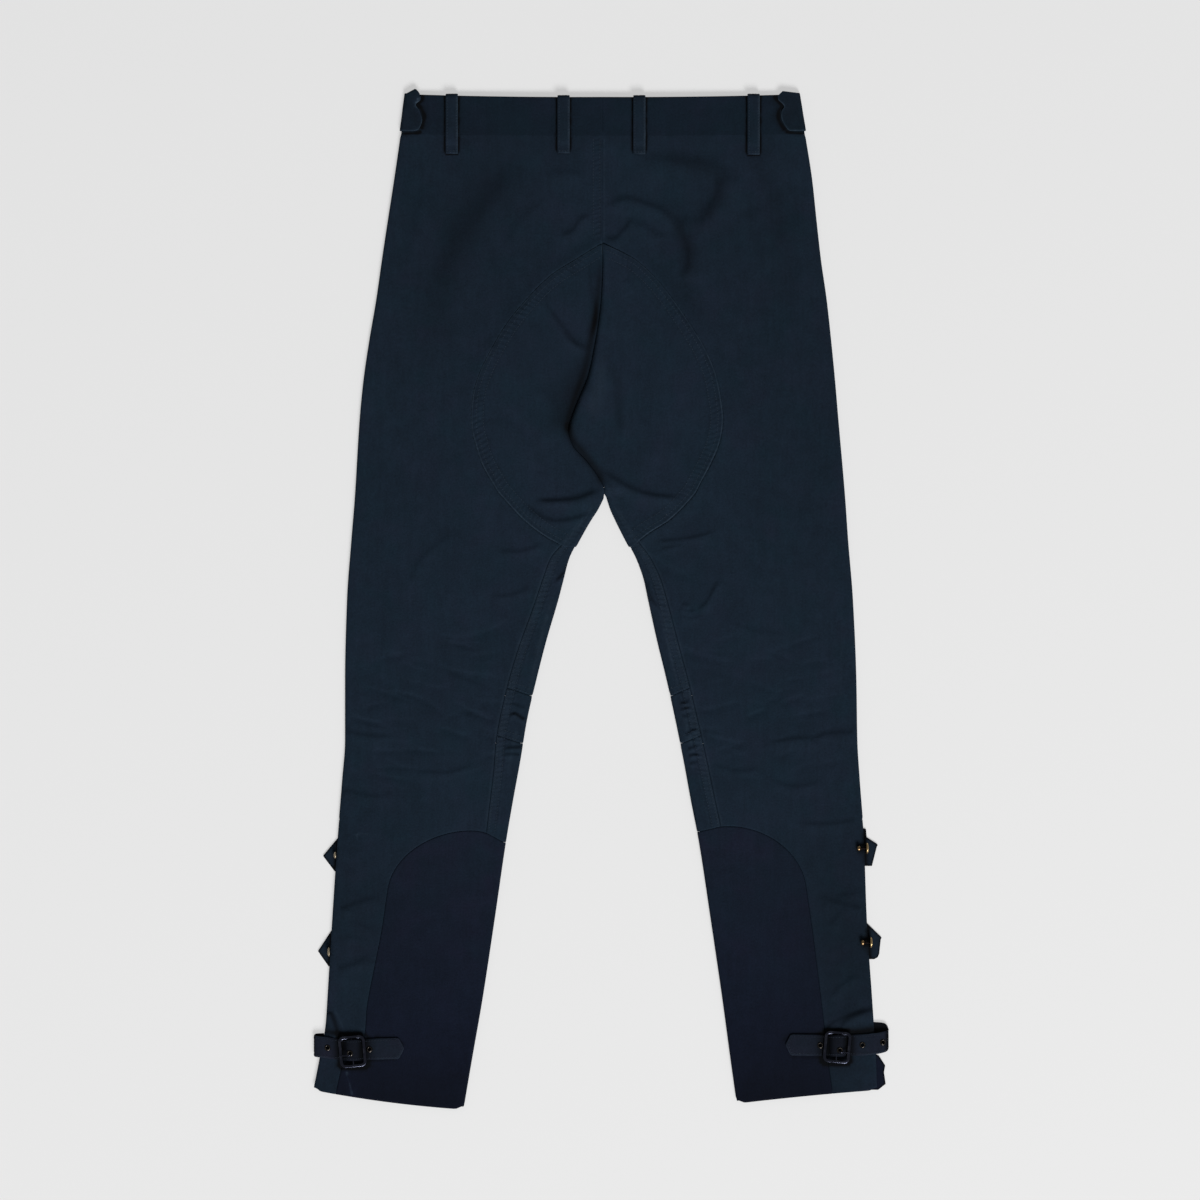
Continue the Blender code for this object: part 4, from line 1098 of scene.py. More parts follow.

# Painted shade in the hollow along the left of the seat fold, and painted highlights along its
# crest and on the bulge to its right.
streak(-0.55, 3.5, (3, 168), (2, 196), (-1, 226), (-6, 256), ends=(0.3, 0.3), offset=-2.5)
streak(
    -0.62, 4.4, (0, 208), (-5, 246), (-12, 284), (-25, 322), (-33, 350),
    ends=(0.3, 0.12), offset=-2.8,
)
streak(-0.42, 12.0, (-10, 262), (-17, 294), (-28, 324), (-36, 356), ends=(0.5, 0.2), offset=-8.0)
streak(
    -0.75, 4.5, (-36, 338), (-31, 356), (-19, 372), (-5, 390), (1, 404),
    ends=(0.1, 0.1), offset=-3.0,
)
streak(0.14, 1.4, (6, 166), (5, 190), (3, 222), ends=(0.05, 0.4), offset=1.2)
streak(0.12, 9.0, (-4, 262), (-12, 300), (-22, 330), ends=(0.3, 0.2), offset=11.0)
streak(0.85, 0.6, (2.7, 154), (2.7, 166), ends=(0.05, 0.05))

# The centre back seam: a felled edge, paler beside the line.
streak(0.2, 0.9, (4.7, 46), (4.8, 100), (4.6, 150), ends=(0.02, 0.05))
streak(-0.3, 1.0, (1.2, 46), (1.2, 100), (1.4, 150), ends=(0.02, 0.05))

# Darker hips, lower shins and hems, and painted shade in the valleys of the hip creases.
tint(-0.20, -136, 130, 90, 120)
tint(-0.14, 150, 160, 90, 130)
tint(-0.05, -215, 330, 60, 160)
tint(-0.05, 215, 330, 60, 160)
tint(-0.24, 255, 880, 56, 130)
tint(-0.10, -235, 840, 60, 90)
tint(-0.08, 225, 300, 50, 200)
tint(-0.04, -258, 900, 40, 110)
tint(-0.46, -205, 1045, 120, 50)
tint(-0.50, 185, 1045, 86, 56)
tint(0.06, 262, 1010, 18, 26)
tint(-0.10, 246, 850, 36, 70)
tint(-0.04, -244, 850, 36, 70)
streak(
    -0.18, 18.0, (-84, 58), (-105, 85), (-135, 130), (-158, 182), (-172, 236), (-184, 296),
    ends=(0.2, 0.35),
)
streak(
    -0.28, 9.0, (46, 62), (74, 67), (104, 74), (121, 86), (123, 104), (112, 124), (97, 142),
    ends=(0.3, 0.2),
)
streak(-0.26, 8.0, (70, 120), (86, 146), (93, 170), (88, 198), ends=(0.35, 0.3))
streak(-0.16, 10.0, (158, 64), (176, 96), (186, 140), (190, 190), ends=(0.2, 0.4))
streak(-0.12, 12.0, (60, 176), (92, 214), (112, 250), ends=(0.3, 0.4))

# Shade under the vent buttons, and on the leg's edge beside the tabs.
streak(-0.9, 2.2, (271.5, 758), (272.2, 775), (273, 794), ends=(0.1, 0.1))
streak(-0.9, 2.2, (275.5, 856), (276.5, 873), (277.5, 888), ends=(0.1, 0.1))
tint(-0.9, 268, 776, 4.5, 5.5)
tint(-0.9, 273, 873, 4.0, 6.0)

# Contact shade beside the belt loops.
for middle, bottom in zip(BELT_LOOPS["middle"], BELT_LOOPS["bottom"]):
    for side in (-1, 1):
        x = middle + side * (LOOP_WIDTH / 2 + 0.7)
        streak(-1.7, 1.4, (x, 0), (x, bottom / 2), (x, bottom + 1), ends=(0.02, 0.05))
    low = bottom + 1.2
    streak(-1.7, 1.4, (middle - 7, low), (middle, low), (middle + 7, low), ends=(0.05, 0.05))

# Painted contact shade along the cut ends of the waist tabs, sharp and then soft, and under their
# lower edges.
LEFT_TAB_END = ((-184, -2), (-182.8, 5), (-187, 10.4), (-183.5, 15), (-180.5, 24), (-183, 37))
RIGHT_TAB_END = ((182, -2), (181, 4), (187.3, 12), (184.2, 18), (184.5, 26), (191.5, 38))
for width, tone in ((2.0, -1.6), (6.0, -0.3)):
    for tab_end in (LEFT_TAB_END, RIGHT_TAB_END):
        streak(tone, width, *tab_end, ends=(0.03, 0.05))
streak(-1.5, 1.8, (-183, 38), (-187, 39.8), (-196, 40.2), (-208, 40.8), ends=(0.05, 0.02))
streak(-1.5, 1.6, (191, 38.5), (198, 39.6), (214, 40.4), ends=(0.05, 0.02))

# Below the waistband.
streak(-0.09, 7.0, (-170, 47), (-60, 48), (60, 47), (170, 48), ends=(0.05, 0.05))
tint(-0.16, -40, 58, 24, 14)
tint(-0.18, 165, 60, 26, 14)

# Contact shade round the straps and buckles.
streak(-0.75, 2.4, (-232, 971), (-216, 971), (-204, 976), (-200, 982), ends=(0.02, 0.2))
streak(-0.8, 3.2, (-300, 962), (-280, 965), (-262, 968), (-244, 968), ends=(0.1, 0.02))
streak(-0.6, 1.6, (-238, 994), (-222, 994), (-208, 992), ends=(0.02, 0.2))
streak(-0.75, 2.4, (228, 967), (209, 967.5), (194, 970), (187, 978), ends=(0.02, 0.2))
streak(-0.9, 4.2, (230, 966), (250, 966), (268, 965), (286, 962), ends=(0.1, 0.02))
streak(-0.5, 1.6, (228, 991), (209, 991), (194, 990), ends=(0.02, 0.2))
for x, y in ((-253.0, 985.0), (243.5, 981.0)):
    corners = np.array([(x + 15, y + 17), (x + 15, y - 17), (x - 15, y - 17), (x - 15, y + 17)])
    for start, end in zip(corners, np.roll(corners, -1, 0)):
        streak(-0.75, 2.6, start, (start + end) / 2, end, ends=(0.05, 0.05))

# A worn line above the left strap, a painted highlight and painted shade on the left hem's folded
# corner, the deep painted shade inside both frames, and painted shade along a fold on the right cuff.
streak(0.3, 1.4, (-273, 942), (-267, 954), (-262, 966), ends=(0.2, 0.1))
streak(-0.4, 1.3, (-257, 1007), (-253, 1018), (-250, 1029), ends=(0.1, 0.05), offset=2.4)
streak(0.75, 1.8, (-261, 1004), (-257.5, 1016), (-254.5, 1030), ends=(0.1, 0.05))
tint(0.35, -254, 1027, 4.0, 9)
tint(-1.1, -252.5, 999.5, 13, 3.6)
tint(-1.1, 243.0, 995.5, 12.5, 3.6)
streak(-0.12, 4.5, (240, 1003), (262, 1003), (282, 1001), ends=(0.1, 0.2))

# Small worn marks beside the left vent and on the left hip.
streak(0.3, 1.1, (-254, 763), (-244, 761), (-233, 763), ends=(0.3, 0.3))
streak(0.28, 0.9, (-250, 768), (-249, 761), ends=(0.3, 0.3))
streak(0.2, 0.9, (-187, 118), (-181, 123), (-180, 127), ends=(0.3, 0.3))

# Thighs.
crease(0.6, 2.4, 6.0, (57, 460), (83, 458), (104, 454), (120, 449), tone=-0.12)
crease(0.5, 2.0, 5.0, (62, 468), (85, 464), tone=-0.08)
crease(0.7, 2.4, 5.0, (123, 499), (116, 512), (109, 524), (101, 530), tone=-0.16)
crease(0.5, 2.2, 4.5, (85, 524), (93, 526), tone=-0.1)
crease(0.45, 2.2, 4.5, (82, 530), (92, 532), (100, 531))
crease(0.4, 2.2, 4.5, (83, 537), (94, 539), (103, 537))
crease(-0.5, 3.0, 6.0, (50, 471), (71, 485), (93, 496))
crease(-0.5, 3.0, 6.0, (83, 566), (104, 576), (140, 585))
crease(0.5, 5.0, 9.0, (150, 440), (176, 470), (190, 505))
crease(0.4, 4.0, 8.0, (128, 540), (160, 552), (192, 556))
streak(0.12, 1.2, (248, 520), (249, 560), (248, 625))
crease(0.6, 3.0, 6.0, (-58, 462), (-80, 470), (-104, 470), tone=-0.08)
crease(0.5, 4.0, 8.0, (-150, 452), (-182, 476), (-200, 510))
crease(0.5, 3.0, 6.0, (-70, 506), (-90, 515), (-112, 517), tone=-0.06)
crease(-0.4, 3.0, 6.0, (-92, 540), (-118, 552), (-150, 560))

# Knees: strong folds on the right, fine whiskers on both.
crease(
    0.75, 3.4, 9.0, (163, 667), (186, 665), (207, 662), (222, 662), (233, 658), (262, 656),
    ends=(0.3, 0.02), grow=(0.7, 1.3), tone=-0.14,
)
crease(-0.45, 2.2, 4.0, (151, 641), (160, 636), (172, 632), tone=0.02)
crease(-0.45, 2.4, 5.0, (104, 634), (124, 629), (145, 624))
crease(-0.45, 2.4, 5.0, (186, 625), (200, 621), (212, 617))
crease(-0.4, 2.4, 5.0, (109, 658), (130, 664), (150, 668))
crease(0.45, 2.8, 7.0, (201, 749), (219, 751), (243, 750), (263, 747), ends=(0.3, 0.03), tone=-0.1)
crease(0.5, 3.0, 6.0, (118, 690), (140, 696), (166, 694))
crease(0.5, 3.5, 7.0, (176, 706), (200, 712), (228, 708), tone=-0.05)
crease(-0.45, 2.4, 5.0, (-221, 572), (-203, 579))
crease(-0.4, 2.2, 4.5, (-154, 590), (-133, 596), (-111, 602))
crease(-0.5, 2.2, 4.5, (-216, 613), (-185, 620), (-159, 636))
crease(-0.5, 2.2, 4.5, (-149, 624), (-123, 638), (-103, 644))
crease(-0.5, 2.2, 4.5, (-257, 638), (-240, 643), (-224, 646))
crease(-0.45, 2.2, 4.5, (-164, 650), (-133, 661))
crease(-0.5, 2.2, 4.5, (-206, 673), (-185, 674), (-164, 676))
crease(0.5, 3.0, 8.0, (-262, 656), (-236, 660), (-206, 662), ends=(0.03, 0.4), tone=-0.08)
crease(0.6, 3.0, 7.0, (-130, 690), (-158, 698), (-190, 697))
crease(0.5, 3.0, 7.0, (-262, 716), (-236, 722), (-210, 720), ends=(0.03, 0.4))

# Puckers where the knee seams run into the inseam, with painted shade in their folds, and the worn
# strip above them.
crease(
    1.0, 1.5, 3.0, (-93, 640), (-87, 637.5), (-80, 642), (-73, 645),
    ends=(0.2, 0.02), tone=-0.75,
)
crease(0.8, 1.6, 3.0, (-99, 673), (-90, 672.5), (-79, 672), ends=(0.3, 0.02), tone=-0.5)
crease(0.5, 1.6, 3.0, (-92, 627), (-85, 629), (-77, 632), ends=(0.3, 0.02), tone=-0.12)
crease(0.6, 1.5, 3.0, (-100, 680), (-92, 679), (-82, 680), ends=(0.3, 0.02), tone=-0.3)
crease(0.9, 1.5, 3.0, (83, 627), (88, 626), (93, 624), ends=(0.02, 0.4), tone=-0.4)
crease(0.8, 1.4, 2.6, (84, 633), (89, 632), (95, 630), ends=(0.02, 0.4), tone=-0.45)
crease(0.6, 1.4, 2.6, (86, 640), (90, 640), (94, 638), ends=(0.02, 0.4), tone=-0.25)
crease(0.8, 1.5, 3.0, (89, 660), (94, 656), (101, 653), ends=(0.02, 0.4), tone=-0.25)
crease(0.8, 1.4, 2.6, (91, 674), (97, 672), (102, 671), ends=(0.02, 0.4), tone=-0.4)
crease(0.9, 1.4, 2.6, (92, 681), (97, 680), (104, 680), ends=(0.02, 0.4), tone=-0.4)
crease(0.6, 1.4, 2.6, (93, 689), (98, 688), (102, 688), ends=(0.02, 0.4), tone=-0.25)
streak(0.34, 1.8, (61, 522), (68, 552), (76, 588), (82, 612), ends=(0.3, 0.3))
streak(0.22, 2.4, (86, 640), (93, 664), (98, 684), ends=(0.3, 0.3))
streak(0.26, 2.2, (-47, 512), (-58, 552), (-68, 596), (-74, 622), ends=(0.3, 0.3))
streak(0.2, 2.2, (-85, 652), (-90, 676), (-94, 700), ends=(0.3, 0.3))
crease(1.0, 1.8, 4.0, (-31, 484), (-38, 494), (-46, 503), ends=(0.02, 0.3), tone=-0.5)
crease(1.0, 1.8, 4.0, (49, 503), (53, 518), (60, 529), ends=(0.02, 0.3), tone=-0.4)

# Shins and ankles.
crease(0.8, 4.0, 9.0, (-267, 838), (-243, 830), (-226, 826), ends=(0.05, 0.4), tone=-0.06)
crease(0.7, 4.0, 9.0, (-270, 900), (-250, 894), (-236, 884), ends=(0.05, 0.4), tone=-0.05)
crease(0.8, 4.0, 9.0, (270, 838), (246, 832), (228, 826), ends=(0.05, 0.4), tone=-0.06)
crease(0.6, 4.0, 9.0, (236, 858), (244, 846), (254, 836))
crease(0.7, 3.0, 6.0, (230, 968), (240, 956), (256, 948), (274, 942), ends=(0.1, 0.1), tone=-0.12)
crease(1.2, 3.6, 8.0, (247, 960), (256, 951), (267, 946), (282, 941), ends=(0.1, 0.05), tone=-0.2)
crease(0.6, 3.0, 6.0, (236, 930), (250, 916), (266, 906))
crease(1.3, 2.6, 5.0, (-277, 944), (-272, 956), (-268, 970), ends=(0.1, 0.02), tone=-0.6)
crease(0.5, 4.0, 8.0, (-262, 1000), (-248, 990), (-232, 996))

# Fine whiskers over both knees and backs of the thighs, a little different on each leg.
for side in (-1, 1):
    rng = random.Random(40 + side)
    for k in range(34):
        down = 556 + 146 * (k + rng.random()) / 34
        middle = side * rng.uniform(100, 238)
        half = rng.uniform(9, 24)
        fall = -side * rng.uniform(0.05, 0.42) * half * (1 if rng.random() < 0.8 else -1)
        bend = down + rng.uniform(-2, 2)
        line = [(middle - half, down - fall), (middle, bend), (middle + half, down + fall)]
        figures = (rng.uniform(-0.34, -0.14), rng.uniform(1.6, 2.6), rng.uniform(3, 5))
        crease(*figures, *line, ends=(0.4, 0.4))
    for k in range(10):
        down = 770 + 190 * (k + rng.random()) / 10
        middle = side * rng.uniform(238, 262)
        half = rng.uniform(8, 18)
        fall = side * rng.uniform(0.1, 0.5) * half
        line = [(middle - half, down + fall), (middle, down), (middle + half, down - fall)]
        figures = (rng.uniform(0.15, 0.4), rng.uniform(2.5, 5), rng.uniform(5, 9))
        crease(*figures, *line, ends=(0.4, 0.4))


def laid(leg, run, every=1):
    """(across, down) of a run of (u, v) points, thinned to one point in every few."""
    places, _, _ = leg.wall(run[:, 0], run[:, 1], plain=True)
    return np.stack([places[:, 0], WAIST_Y - places[:, 1]], 1)[::every]


def beside(run, distance):
    """A line of (u, v) points moved to its left as drawn."""
    run = even(run, 2.0)
    ahead = unit(np.gradient(run, axis=0))
    return run + np.stack([-ahead[:, 1], ahead[:, 0]], 1) * distance


SEAT_ROWS = (5.0, 12.2)  # topstitching inside the seat patch's edge
SEAM_ROWS = (2.4, 8.4)  # twin rows beside the inseam, on the front panels' turned strip
KNEE_ROWS = (2.0, 7.5)  # twin rows above the knee seams
CENTRE_ROWS = {-1: (2.6, 9.4), 1: ()}  # twin rows beside the centre seam, on the left half only


def seat_row(leg, distance):
    """A sewn row inside the seat patch's edge, as (u, v)."""
    seat = SeatPatch(leg)
    run = column(seat.edge, SEAT["down"][0] + 1.5, SEAT["down"][-1] - 1)
    row = beside(run, -distance)
    fold = seat.nose(row[:, 1])[0]
    return row[row[:, 0] < fold - 1.5]


def inseam_row(leg, distance, start=CROTCH, end=None):
    """A sewn row beside the inseam, towards the inner edge, as (u, v)."""
    end = leg.calf["crest"] + 3 if end is None else end
    v = np.linspace(start, end, int((end - start) / 2))
    room = leg.inseam(v)
    inside = np.minimum(distance, room * 0.8)
    return np.stack([leg.seam(v) + inside, v], 1)


SEAT_LINES = {}  # the seat patch's outer edge on each leg


def sewn_relief():
    """The puckers and felled edges that go with the sewn rows."""
    for leg in LEGS:
        seat_edge = column(SeatPatch(leg).edge, SEAT["down"][0] + 0.5, SEAT["down"][-1])
        SEAT_LINES[leg.side] = Line(laid(leg, seat_edge, 3), 22)
        for distance, seed in ((3.2, 4), (8.6, 5)):
            pucker(0.42, 5.2, 3.6, 0.0, *laid(leg, seat_row(leg, distance), 4), seed=seed + leg.side)
        # The seat patch's edge: a pale worn line, then dark lines painted as shade in the grooves
        # inside it.
        for distance, width, tone in ((0.5, 0.7, 0.55), (2.2, 0.8, -0.38), (13.4, 0.9, -0.16)):
            streak(tone, width, *laid(leg, seat_row(leg, distance), 3), ends=(0.02, 0.02))
        spots = laid(leg, inseam_row(leg, 5.4, CROTCH + 16), 5)
        pucker(0.42, 5.2, 5.0, 0.0, *spots, seed=9 + leg.side)
        streak(0.10, 3.0, *spots)
        felled = ((-1.5, 0.8, 0.2), (1.4, 0.7, 0.3), (9.8, 0.8, -0.3), (11.0, 0.7, 0.16))
        for distance, width, tone in felled:
            row = inseam_row(leg, distance, CROTCH + 8)
            streak(tone, width, *laid(leg, row, 5), ends=(0.02, 0.02))
        for v in (KNEE_TOP, KNEE_BOTTOM):
            flat = float(leg.flat(v + KNEE_DIP))
            run = np.array([(float(leg.seam(v)), v - 4), (flat, v + KNEE_DIP - 4)])
            pucker(0.28, 4.4, 5.0, 0.0, *laid(leg, run), seed=12 + leg.side, step=1.0)
        v = np.linspace(VENT + 30, HEM - 50, 40)
        run = np.stack([leg.flat(v) - leg.calf["reach"] - leg.calf_spread(v) + EDGE, v], 1)
        pucker(0.10, 6.0, 4.0, 0.0, *laid(leg, run, 4), seed=15 + leg.side)
    spots = [(float(CENTRE(v)), v) for v in (BAND, 80, 120, 152)]
    pucker(0.22, 5.0, 6.0, -4.0, *spots, seed=2)


sewn_relief()


def detailed(places):
    """Which places on the back lie near a narrow crease, a puckered seam or a fine streak."""
    across, down = places[:, 0], WAIST_Y - places[:, 1]
    found = np.zeros(len(across), bool)
    fine = [(line, 0.0, 2.2 * max(dark, 2.5)) for line, _, dark, *_ in creases if dark < 4.2]
    fine += [(line, offset, 1.8 * width) for line, _, _, width, offset, *_ in puckers]
    fine += [(line, offset, 1.8 * width) for line, _, width, _, offset in streaks if width < 3]
    for line, offset, reach in fine:
        near, off, _ = line.near(across, down)
        if len(near):
            found[near[np.abs(off - offset) < reach]] = True
    return found


# Strips.


def from_border(loop):
    """How far a place lies from a cut shape's border, as a function of its (u, v)."""
    border = even(np.vstack([loop, loop[:1]]), 0.5)

    def distance(u, v):
        away = [np.hypot(border[:, 0] - x, border[:, 1] - y).min() for x, y in zip(u, v)]
        return np.array(away)

    return distance


class Path:
    """The middle line of a strip, read by the distance from its start."""

    def __init__(self, points, across, up):
        self.at = smooth(points, 0.4)
        self.arc = arc_of(self.at)
        self.length = float(self.arc[-1])
        self.across = np.array(across, float) / np.linalg.norm(across)
        ahead = np.gradient(self.at, axis=0)
        out = unit(np.cross(ahead, self.across))
        self.out = out * np.sign(np.dot(out[len(out) // 3], up))

    def read(self, columns, s):
        return np.stack([np.interp(s, self.arc, column) for column in columns.T], -1)

    def place(self, s, w, lift=0.0):
        out = self.read(self.out, s)
        out /= np.linalg.norm(out, axis=-1)[..., None]
        return self.read(self.at, s) + np.multiply.outer(w, self.across) + out * lift, out


STRIP_DROP, STRIP_RINGS = 0.35, (0.3, 0.8)  # how a narrow piece's cut edge is rounded


def strip(name, path, loops, thick, step, crown=0.0, edge_drop=STRIP_DROP, shade=None, wear=(0.3, 0.3)):
    """A strip of folded cloth along a path, slightly thicker in its middle.

    wear is how pale its edge is made, on the side where w is below zero and on the other: worn
    cloth, and on the belt loops a painted highlight on the side towards the light. shade(s, w)
    adds more tone: painted shade on the ankle straps, darker cloth and a frayed patch on the
    waist tabs.
    """
    half = (loops[0][:, 1].max() - loops[0][:, 1].min()) / 2
    distance = from_border(loops[0])

    def place(s, w):
        bulge = crown * (1 - np.clip(np.abs(w) / half, 0, 1) ** 2)
        place, out = path.place(s, w)
        # Pale worn edges, on the belt loops also a painted highlight; shade(s, w) adds painted shade on
        # the straps.
        amount = wear[0] + (wear[1] - wear[0]) * ease(w, -half / 2, half / 2)
        worn = amount * bell(distance(s, w), 0.9) * (0.7 + 0.4 * noise(s, w, 5, 21))
        if shade is not None:
            worn = worn + shade(s, w)
        place = place + out * (thick / 2 + bulge + 0.08 * noise(s, w, 6, 22))[:, None]
        return place, out, worn

    low, high = loops[0].min(0), loops[0].max(0)
    fill = hexagons(low, high, step)
    return shell(name, loops, lambda outer: fill, place, thick, edge_drop, STRIP_RINGS)


def circle(u, v, radius, count):
    """A round hole, clockwise, so that inward() moves its points out of it into the cloth."""
    angles = -np.arange(count) * 2 * math.pi / count
    return np.stack([u + radius * np.cos(angles), v + radius * np.sin(angles)], 1)


# Stitches.


STITCH, STITCH_LENGTH, THREAD = 3.0, 2.3, 0.26  # pitch, length and radius


def stitches(name, rows, look, slot):
    """Sewn rows as beads of thread. Each row is (places, ways out) at an even step."""
    rng = random.Random(name)
    points, faces = [], []
    for places, outs in rows:
        arc = arc_of(places)
        count = int(arc[-1] / STITCH)
        for k in range(count):
            middle = (k + 0.5) * STITCH + rng.uniform(-0.12, 0.12)
            at = [np.array([np.interp(middle + d, arc, c) for c in places.T]) for d in (-0.5, 0, 0.5)]
            out = np.array([np.interp(middle, arc, c) for c in outs.T])
            ahead = at[2] - at[0]
            ahead /= np.linalg.norm(ahead)
            beside = np.cross(ahead, out)
            beside /= np.linalg.norm(beside)
            ahead = ahead + beside * rng.uniform(-0.07, 0.07)
            length = STITCH_LENGTH * rng.uniform(0.94, 1.04)
            first = len(points)
            tips = (-0.5, -0.28, 0.28, 0.5)
            for share, thick, sink in zip(tips, (0, 1, 1, 0), (-0.22, 0.06, 0.06, -0.22)):
                centre = at[1] + ahead * share * length + out * sink
                if not thick:
                    points.append(centre)
                    continue
                for side in range(5):
                    angle = side * 2 * math.pi / 5 + math.pi / 2
                    points.append(
                        centre + (beside * math.cos(angle) + out * math.sin(angle)) * THREAD
                    )
            last = first + 11
            for side in range(5):
                a, b = first + 1 + side, first + 1 + (side + 1) % 5
                faces += [(first, b, a), (a, b, b + 5, a + 5), (last, a + 5, b + 5)]
    piece = smooth_mesh(name, points, faces, sharp=80)
    return keep(piece, look, slot)


def row_on(place, spots, lift=0.05):
    """A row of stitches over a face: spots are (u, v) along it."""
    spots = even(spots, 1.0)
    places, outs, _ = place(spots[:, 0], spots[:, 1])
    return places + outs * lift, outs


def leg_threads(leg):
    """The sewn rows that show on one half."""
    name, place = leg.name, leg.wall
    seat = SeatPatch(leg)
    threads = {"seat": [], "back": [], "front_thigh": [], "front_knee": [], "front_shin": []}
    for distance in SEAT_ROWS:
        threads["seat"].append(row_on(seat.place, seat_row(leg, distance)))
    v = np.linspace(BAND + 3, 152, 60)
    for distance in CENTRE_ROWS[leg.side]:
        spots = np.stack([leg.seam(v) - distance, v], 1)
        threads["back"].append(row_on(place, spots))
    half = GAP / 2
    for distance in SEAM_ROWS:
        thigh = inseam_row(leg, distance, CROTCH + 14, KNEE_TOP - 1.5)
        knee = inseam_row(leg, distance, KNEE_TOP + 1.5, KNEE_BOTTOM - 1.5)
        shin = inseam_row(leg, distance, KNEE_BOTTOM + 1.5, leg.calf["crest"] + 2)
        for part, row in (("thigh", thigh), ("knee", knee), ("shin", shin)):
            threads[f"front_{part}"].append(row_on(place, row))
    for distance in KNEE_ROWS:
        for part, v in (("thigh", KNEE_TOP), ("knee", KNEE_BOTTOM)):
            seam, flat = float(leg.seam(v)) + 1.0, float(leg.flat(v + KNEE_DIP))
            low = v - distance
            spots = [(seam, low), (flat, low + KNEE_DIP), (flat + AROUND * 0.6, low + KNEE_DIP)]
            threads[f"front_{part}"].append(row_on(place, spots))
    return {
        part: stitches(f"thread_{part}_{name}", rows, LOOKS["thread"], "navy_twill")
        for part, rows in threads.items()
        if rows
    }


# Looks.


class Nodes:
    """A short way to write a material's nodes."""

    def __init__(self, name):
        self.look = bpy.data.materials.new(name)
        self.look.use_nodes = True
        self.tree = self.look.node_tree
        self.shader = self.tree.nodes["Principled BSDF"]
        where = self.add("ShaderNodeTexCoord")
        self.place = where.outputs["Object"]

    def add(self, kind, **settings):
        node = self.tree.nodes.new(kind)
        for key, value in settings.items():
            setattr(node, key, value)
        return node

    def link(self, source, target):
        self.tree.links.new(source, target)

    def noise(self, scale, detail=3.0, stretch=(1, 1, 1), turn=0.0, rough=0.55):
        mapping = self.add("ShaderNodeMapping")
        mapping.inputs["Scale"].default_value = stretch
        mapping.inputs["Rotation"].default_value = (0, 0, turn)
        self.link(self.place, mapping.inputs["Vector"])
        node = self.add("ShaderNodeTexNoise")
        node.inputs["Scale"].default_value = scale
        node.inputs["Detail"].default_value = detail
        node.inputs["Roughness"].default_value = rough
        self.link(mapping.outputs[0], node.inputs["Vector"])
        return node.outputs["Fac"]

    def maths(self, operation, first, second=None, clamp=False):
        node = self.add("ShaderNodeMath", operation=operation, use_clamp=clamp)
        for socket, value in zip(node.inputs, (first, second)):
            if value is None:
                continue
            if isinstance(value, (int, float, tuple)):
                socket.default_value = value
            else:
                self.link(value, socket)
        return node.outputs[0]

    def scaled(self, source, low, high, to_low, to_high, clamp=False):
        node = self.add("ShaderNodeMapRange", clamp=clamp)
        self.link(source, node.inputs["Value"])
        keys = ("From Min", "From Max", "To Min", "To Max")
        for key, value in zip(keys, (low, high, to_low, to_high)):
            node.inputs[key].default_value = value
        return node.outputs["Result"]

    def mix(self, share, first, second):
        node = self.add("ShaderNodeMix", data_type="RGBA", clamp_factor=True)
        colour_sockets = (node.inputs[0], node.inputs[6], node.inputs[7])
        for socket, value in zip(colour_sockets, (share, first, second)):
            if isinstance(value, tuple):
                socket.default_value = (*value, 1)
            elif isinstance(value, (int, float)):
                socket.default_value = value
            else:
                self.link(value, socket)
        return node.outputs[2]

    def bump(self, height, distance, strength=1.0, under=None):
        node = self.add("ShaderNodeBump")
        node.inputs["Strength"].default_value = strength
        node.inputs["Distance"].default_value = distance
        self.link(height, node.inputs["Height"])
        if under is not None:
            self.link(under, node.inputs["Normal"])
        return node.outputs["Normal"]

    def finish(self, colour, normal=None, **sockets):
        if isinstance(colour, tuple):
            self.shader.inputs["Base Color"].default_value = (*colour, 1)
        else:
            self.link(colour, self.shader.inputs["Base Color"])
        if normal is not None:
            self.link(normal, self.shader.inputs["Normal"])
        for key, value in sockets.items():
            socket = self.shader.inputs[key.replace("_", " ")]
            if isinstance(value, (int, float, tuple)):
                socket.default_value = value
            else:
                self.link(value, socket)
        return self.look


WALE, WALE_TURN = 0.00085, 63  # pitch in metres and slant in degrees of the twill's ribs
MOTTLE = 0.24  # how uneven the dye is
LOW_FROM, LOW_TO = -0.27, -0.47  # the calf patch darkens between these heights on Y, in metres
DEEP_SHADE = (0.001, 0.0015, 0.0025)
# Painted dark shade in a button's hollow back, and the radius within which it is painted.
HOLLOW_SHADE, HOLLOW_SHADE_RADIUS = (0.004, 0.003, 0.003), 4.75


